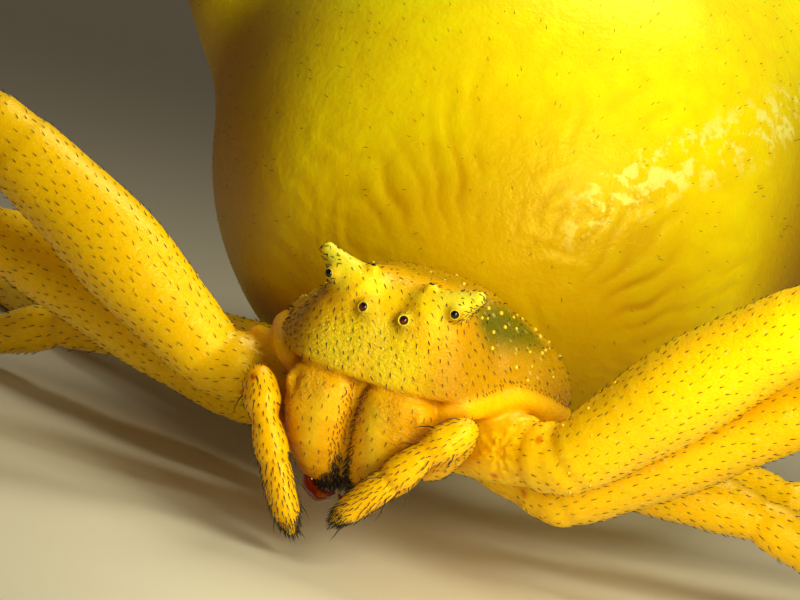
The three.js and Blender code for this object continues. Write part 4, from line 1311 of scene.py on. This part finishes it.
def limb_frame(picks):
    """Direction along the limb at each picked point, and its place on the map."""
    ahead = np.zeros((len(picks), 3))
    u, v = np.zeros(len(picks)), np.zeros(len(picks))
    for i in set(owner[picks]):
        at = np.nonzero(owner[picks] == i)[0]
        turn, ahead[at] = around_limb(parts[i], picks[at])
        u[at], v[at] = uv_cell(i % ABDOMEN_CELL, share[picks[at]], turn / (2 * math.pi) + 0.5)
    return ahead, (u, v)


def trunk_place(picks):
    q = points[picks]
    around = np.arctan2(q[:, 0], -(q[:, 1] - 1.6)) / (2 * math.pi) + 0.5
    return uv_cell(TRUNK_CELL, around, np.clip((q[:, 2] + 1.4) / 2.2, 0, 1))


def area_weights():
    """How much surface each point of the skin stands for."""
    a, b, c, d = (points[quads[:, k]] for k in range(4))
    area = np.linalg.norm(np.cross(c - a, d - b), axis=1) / 2
    total = np.zeros(len(points))
    for k in range(4):
        np.add.at(total, quads[:, k], area / 4)
    return total


skin_area = area_weights()
open_skin = (fold < 0.55).astype(float)
y, z, out_x = points[:, 1], points[:, 2], np.abs(points[:, 0])
LIMB_COATS = [  # name, kinds, spacing, most, length, width, rise, shares of the length that it covers
    ("femora", ("femur", "trochanter"), 0.104, 4900, 0.078, 0.0125, 0.5, (0, 1)),
    ("shins", ("tibia", "foot"), 0.105, 4600, 0.1, 0.0125, 0.6, (0, 1)),
    ("coxae", ("coxa", "mouth"), 0.17, 500, 0.07, 0.01, 0.7, (0, 1)),
    ("palps", ("palp", "palp_base"), 0.07, 700, 0.085, 0.013, 0.6, (0, 1)),
    ("palp_tips", ("palp_tip",), 0.056, 700, 0.1, 0.013, 0.5, (0, 1)),
    ("palp_ends", ("palp_tip",), 0.026, 280, 0.1, 0.012, 0.35, (0.82, 1)),
    ("palp_long", ("palp", "palp_tip"), 0.24, 36, 0.26, 0.017, 1.3, (0, 1)),
    ("chelicerae", ("chelicera",), 0.11, 260, 0.07, 0.0125, 0.6, (0.03, 0.9)),
]
for name, wanted, spacing, most, length, width, rise, (first, last) in LIMB_COATS:
    picks = scattered(open_skin * on(*wanted) * (share >= first) * (share <= last), spacing, most)
    ahead, cells = limb_frame(picks)
    up = normals[picks] * rise
    jitter = random.normal(size=(len(picks), 3)) * 0.16
    bristles(f"bristles_{name}", points[picks], up + ahead + jitter, ahead + up * 0.15 + jitter * 0.7,
             length, width, cells, BRISTLE, (0.7, 1.25), (0.8, 1.15))


def down_face(p):
    return np.stack([p[:, 0] * 0.2 + 0.75, np.full(len(p), -0.25), np.full(len(p), -1.0)], 1)


def down_thorax(p):
    return np.stack([p[:, 0] * 0.5, np.full(len(p), -0.6), np.full(len(p), -0.6)], 1)


def off_rim(p):
    return np.stack([p[:, 0], np.full(len(p), -0.2), np.full(len(p), -0.4)], 1)


def to_horn_tip(p):
    tip = np.where(p[:, :1] > 0, HORN_TIP[None], HORN_TIP[None] * v3(-1, 1, 1))
    return tip + (tip - v3(0, 0.3, 0.1)) * 0.3 - p - v3(0, 0, 0.25)


face_weight = open_skin * smooth_step(0.9, 0.0, y) * smooth_step(-0.75, -0.6, z)
thorax_weight = smooth_step(0.7, 1.3, y) * (z > rim_level(y) + 0.08)
rim_weight = (np.abs(rim_away - 0.075) < 0.03) * (y > 0.3)
horn_side = smooth_step(0.3, 0.55, normals[:, 0] * np.sign(points[:, 0]) * 0.75 - normals[:, 2] * 0.6)
horn_weight = (horn_field(points) < 0.05) * smooth_step(0.62, 0.86, out_x) * (z > 0.1) * (0.012 + horn_side)
TRUNK_COATS = [  # name, where on the carapace, spacing, most, length, width, rise, the way they lie
    ("face", face_weight, 0.09, 460, 0.066, 0.014, 0.45, down_face),
    ("thorax", thorax_weight, 0.14, 420, 0.06, 0.0125, 0.6, down_thorax),
    ("rim", rim_weight, 0.045, 300, 0.045, 0.014, 1.0, off_rim),
    ("horns", horn_weight, 0.045, 110, 0.06, 0.0145, 0.3, to_horn_tip),
]
for name, weight, spacing, most, length, width, rise, flow in TRUNK_COATS:
    picks = scattered(carapace_here * weight, spacing, most)
    n = normals[picks]
    along = flow(points[picks])
    along = unit(along - (along * n).sum(1)[:, None] * n)
    jitter = random.normal(size=(len(picks), 3)) * 0.25
    bristles(f"bristles_{name}", points[picks], n * rise + along + jitter, along + n * 0.1 + jitter * 0.6,
             length, width, trunk_place(picks), BRISTLE_BLACK, widths=(0.8, 1.2))

bead_weight = carapace_here * smooth_step(0.55, 0.95, y) * smooth_step(-0.62, -0.4, z)
bead_weight *= 0.3 + 2.0 * tones["green_and_eye_shade"] + 0.8 * smooth_step(0.5, 0.9, out_x)
picks = scattered(bead_weight, 0.15, 70)
granules("granules", picks, random.uniform(0.014, 0.03, len(picks)), trunk_place(picks))
picks = scattered(on("femur", "trochanter") * smooth_step(0.5, 0.1, share), 0.22, 160)
granules("leg_granules", picks, random.uniform(0.01, 0.02, len(picks)), limb_frame(picks)[1])

# the dark fringe where the chelicerae meet: a few hairs above, a brush below
fringe_place = smooth_step(0.16, 0.06, out_x) * (y < -0.2) * (0.25 + share)
brush_place = (jaw_across < -0.7 + 0.75 * smooth_step(0.72, 0.92, share)) * (normals[:, 1] < 0.25)
FRINGES = [  # name, where on the jaws, spacing, most, length, width, how steeply down
    ("fringe", fringe_place, 0.04, 130, 0.085, 0.0115, 0.6),
    ("brush", brush_place * smooth_step(0.5, 0.85, share), 0.02, 360, 0.16, 0.0125, 1.0),
]
for name, weight, spacing, most, length, width, down in FRINGES:
    picks = scattered(jaw_here * weight, spacing, most)
    ahead, cells = limb_frame(picks)
    flat = np.ones(len(picks))
    to_middle = np.stack([-np.sign(points[picks, 0]) * 0.7, flat * -0.5, flat * -down], 1)
    jitter = random.normal(size=(len(picks), 3)) * 0.22
    bristles(f"bristles_{name}", points[picks], to_middle + jitter, ahead * down + to_middle * 0.3 + jitter,
             length, width, cells, BRISTLE_BLACK, (0.6, 1.3))

# a thin coat of short hairs on the abdomen
weights = (abdomen_points[:, 2] > FLOOR + 0.2).astype(float)
picks = random.choice(len(weights), size=int(1500 * COAT_SHARE), replace=False, p=weights / weights.sum())
backward = unit(ABDOMEN_TURN @ v3(0, 1, -0.35))
n = abdomen_normals[picks]
along = unit(backward - (n @ backward)[:, None] * n + random.normal(size=(len(picks), 3)) * 0.1)
around = np.arctan2(shape[picks, 0], shape[picks, 2] - ABDOMEN_CENTRE[2]) / (2 * math.pi) + 0.5
cells = uv_cell(ABDOMEN_CELL, around, np.clip(shape[picks, 1] / 7.2, 0, 1))
bristles("bristles_abdomen", abdomen_points[picks], n * 0.6 + along, along + n * 0.1, 0.07, 0.0075, cells,
         BRISTLE_BLACK, (0.6, 1.2))

# Floor, light and world
stage = Surface("floor")
stage.put(Base_Color=(0.62, 0.59, 0.53), Roughness=0.8)
floor_mesh = bpy.data.meshes.new("floor")
floor_mesh.from_pydata([(-2, -2, 0), (2, -2, 0), (2, 2, 0), (-2, 2, 0)], [], [(0, 1, 2, 3)])
floor_mesh.materials.append(stage.made)
floor = bpy.data.objects.new("floor", floor_mesh)
floor.location.z = -0.00001
bpy.context.scene.collection.objects.link(floor)

LIGHTS = [  # name, millimetres right, up and back from what it is aimed at, size, watts, colour
    ("key", (8, 4, 10), 6, 0.00083, (1.0, 0.94, 0.62)),
    ("fill", (5.5, -1.3, 11.3), 5, 0.00055, (1.0, 0.9, 0.56)),
    ("rim", (7, 16, -4), 9, 0.00094, (1.0, 0.94, 0.64)),
]
LIGHTS_AIM = v3(0.3, 0.6, -0.5)
LIGHT_SPREAD = math.radians(130)
for name, at, size, power, colour in LIGHTS:
    light = bpy.data.lights.new(name, "AREA")
    light.shape = "SQUARE"
    light.size = size * MM
    light.energy = power
    light.color = colour
    light.spread = LIGHT_SPREAD
    lamp = bpy.data.objects.new(name, light)
    towards = cam_right * at[0] + cam_up * at[1] + back * at[2]
    lamp.rotation_euler = Vector(-unit(towards)).to_track_quat("-Z", "Y").to_euler()
    lamp.location = Vector(placed(LIGHTS_AIM + towards))
    lamp.visible_camera = False
    bpy.context.scene.collection.objects.link(lamp)

world = bpy.data.worlds.new("world")
bpy.context.scene.world = world
world.use_nodes = True
world.node_tree.nodes["Background"].inputs["Color"].default_value = (1.0, 0.84, 0.6, 1)
world.node_tree.nodes["Background"].inputs["Strength"].default_value = 0.12
bpy.context.scene.view_settings.view_transform = "Standard"
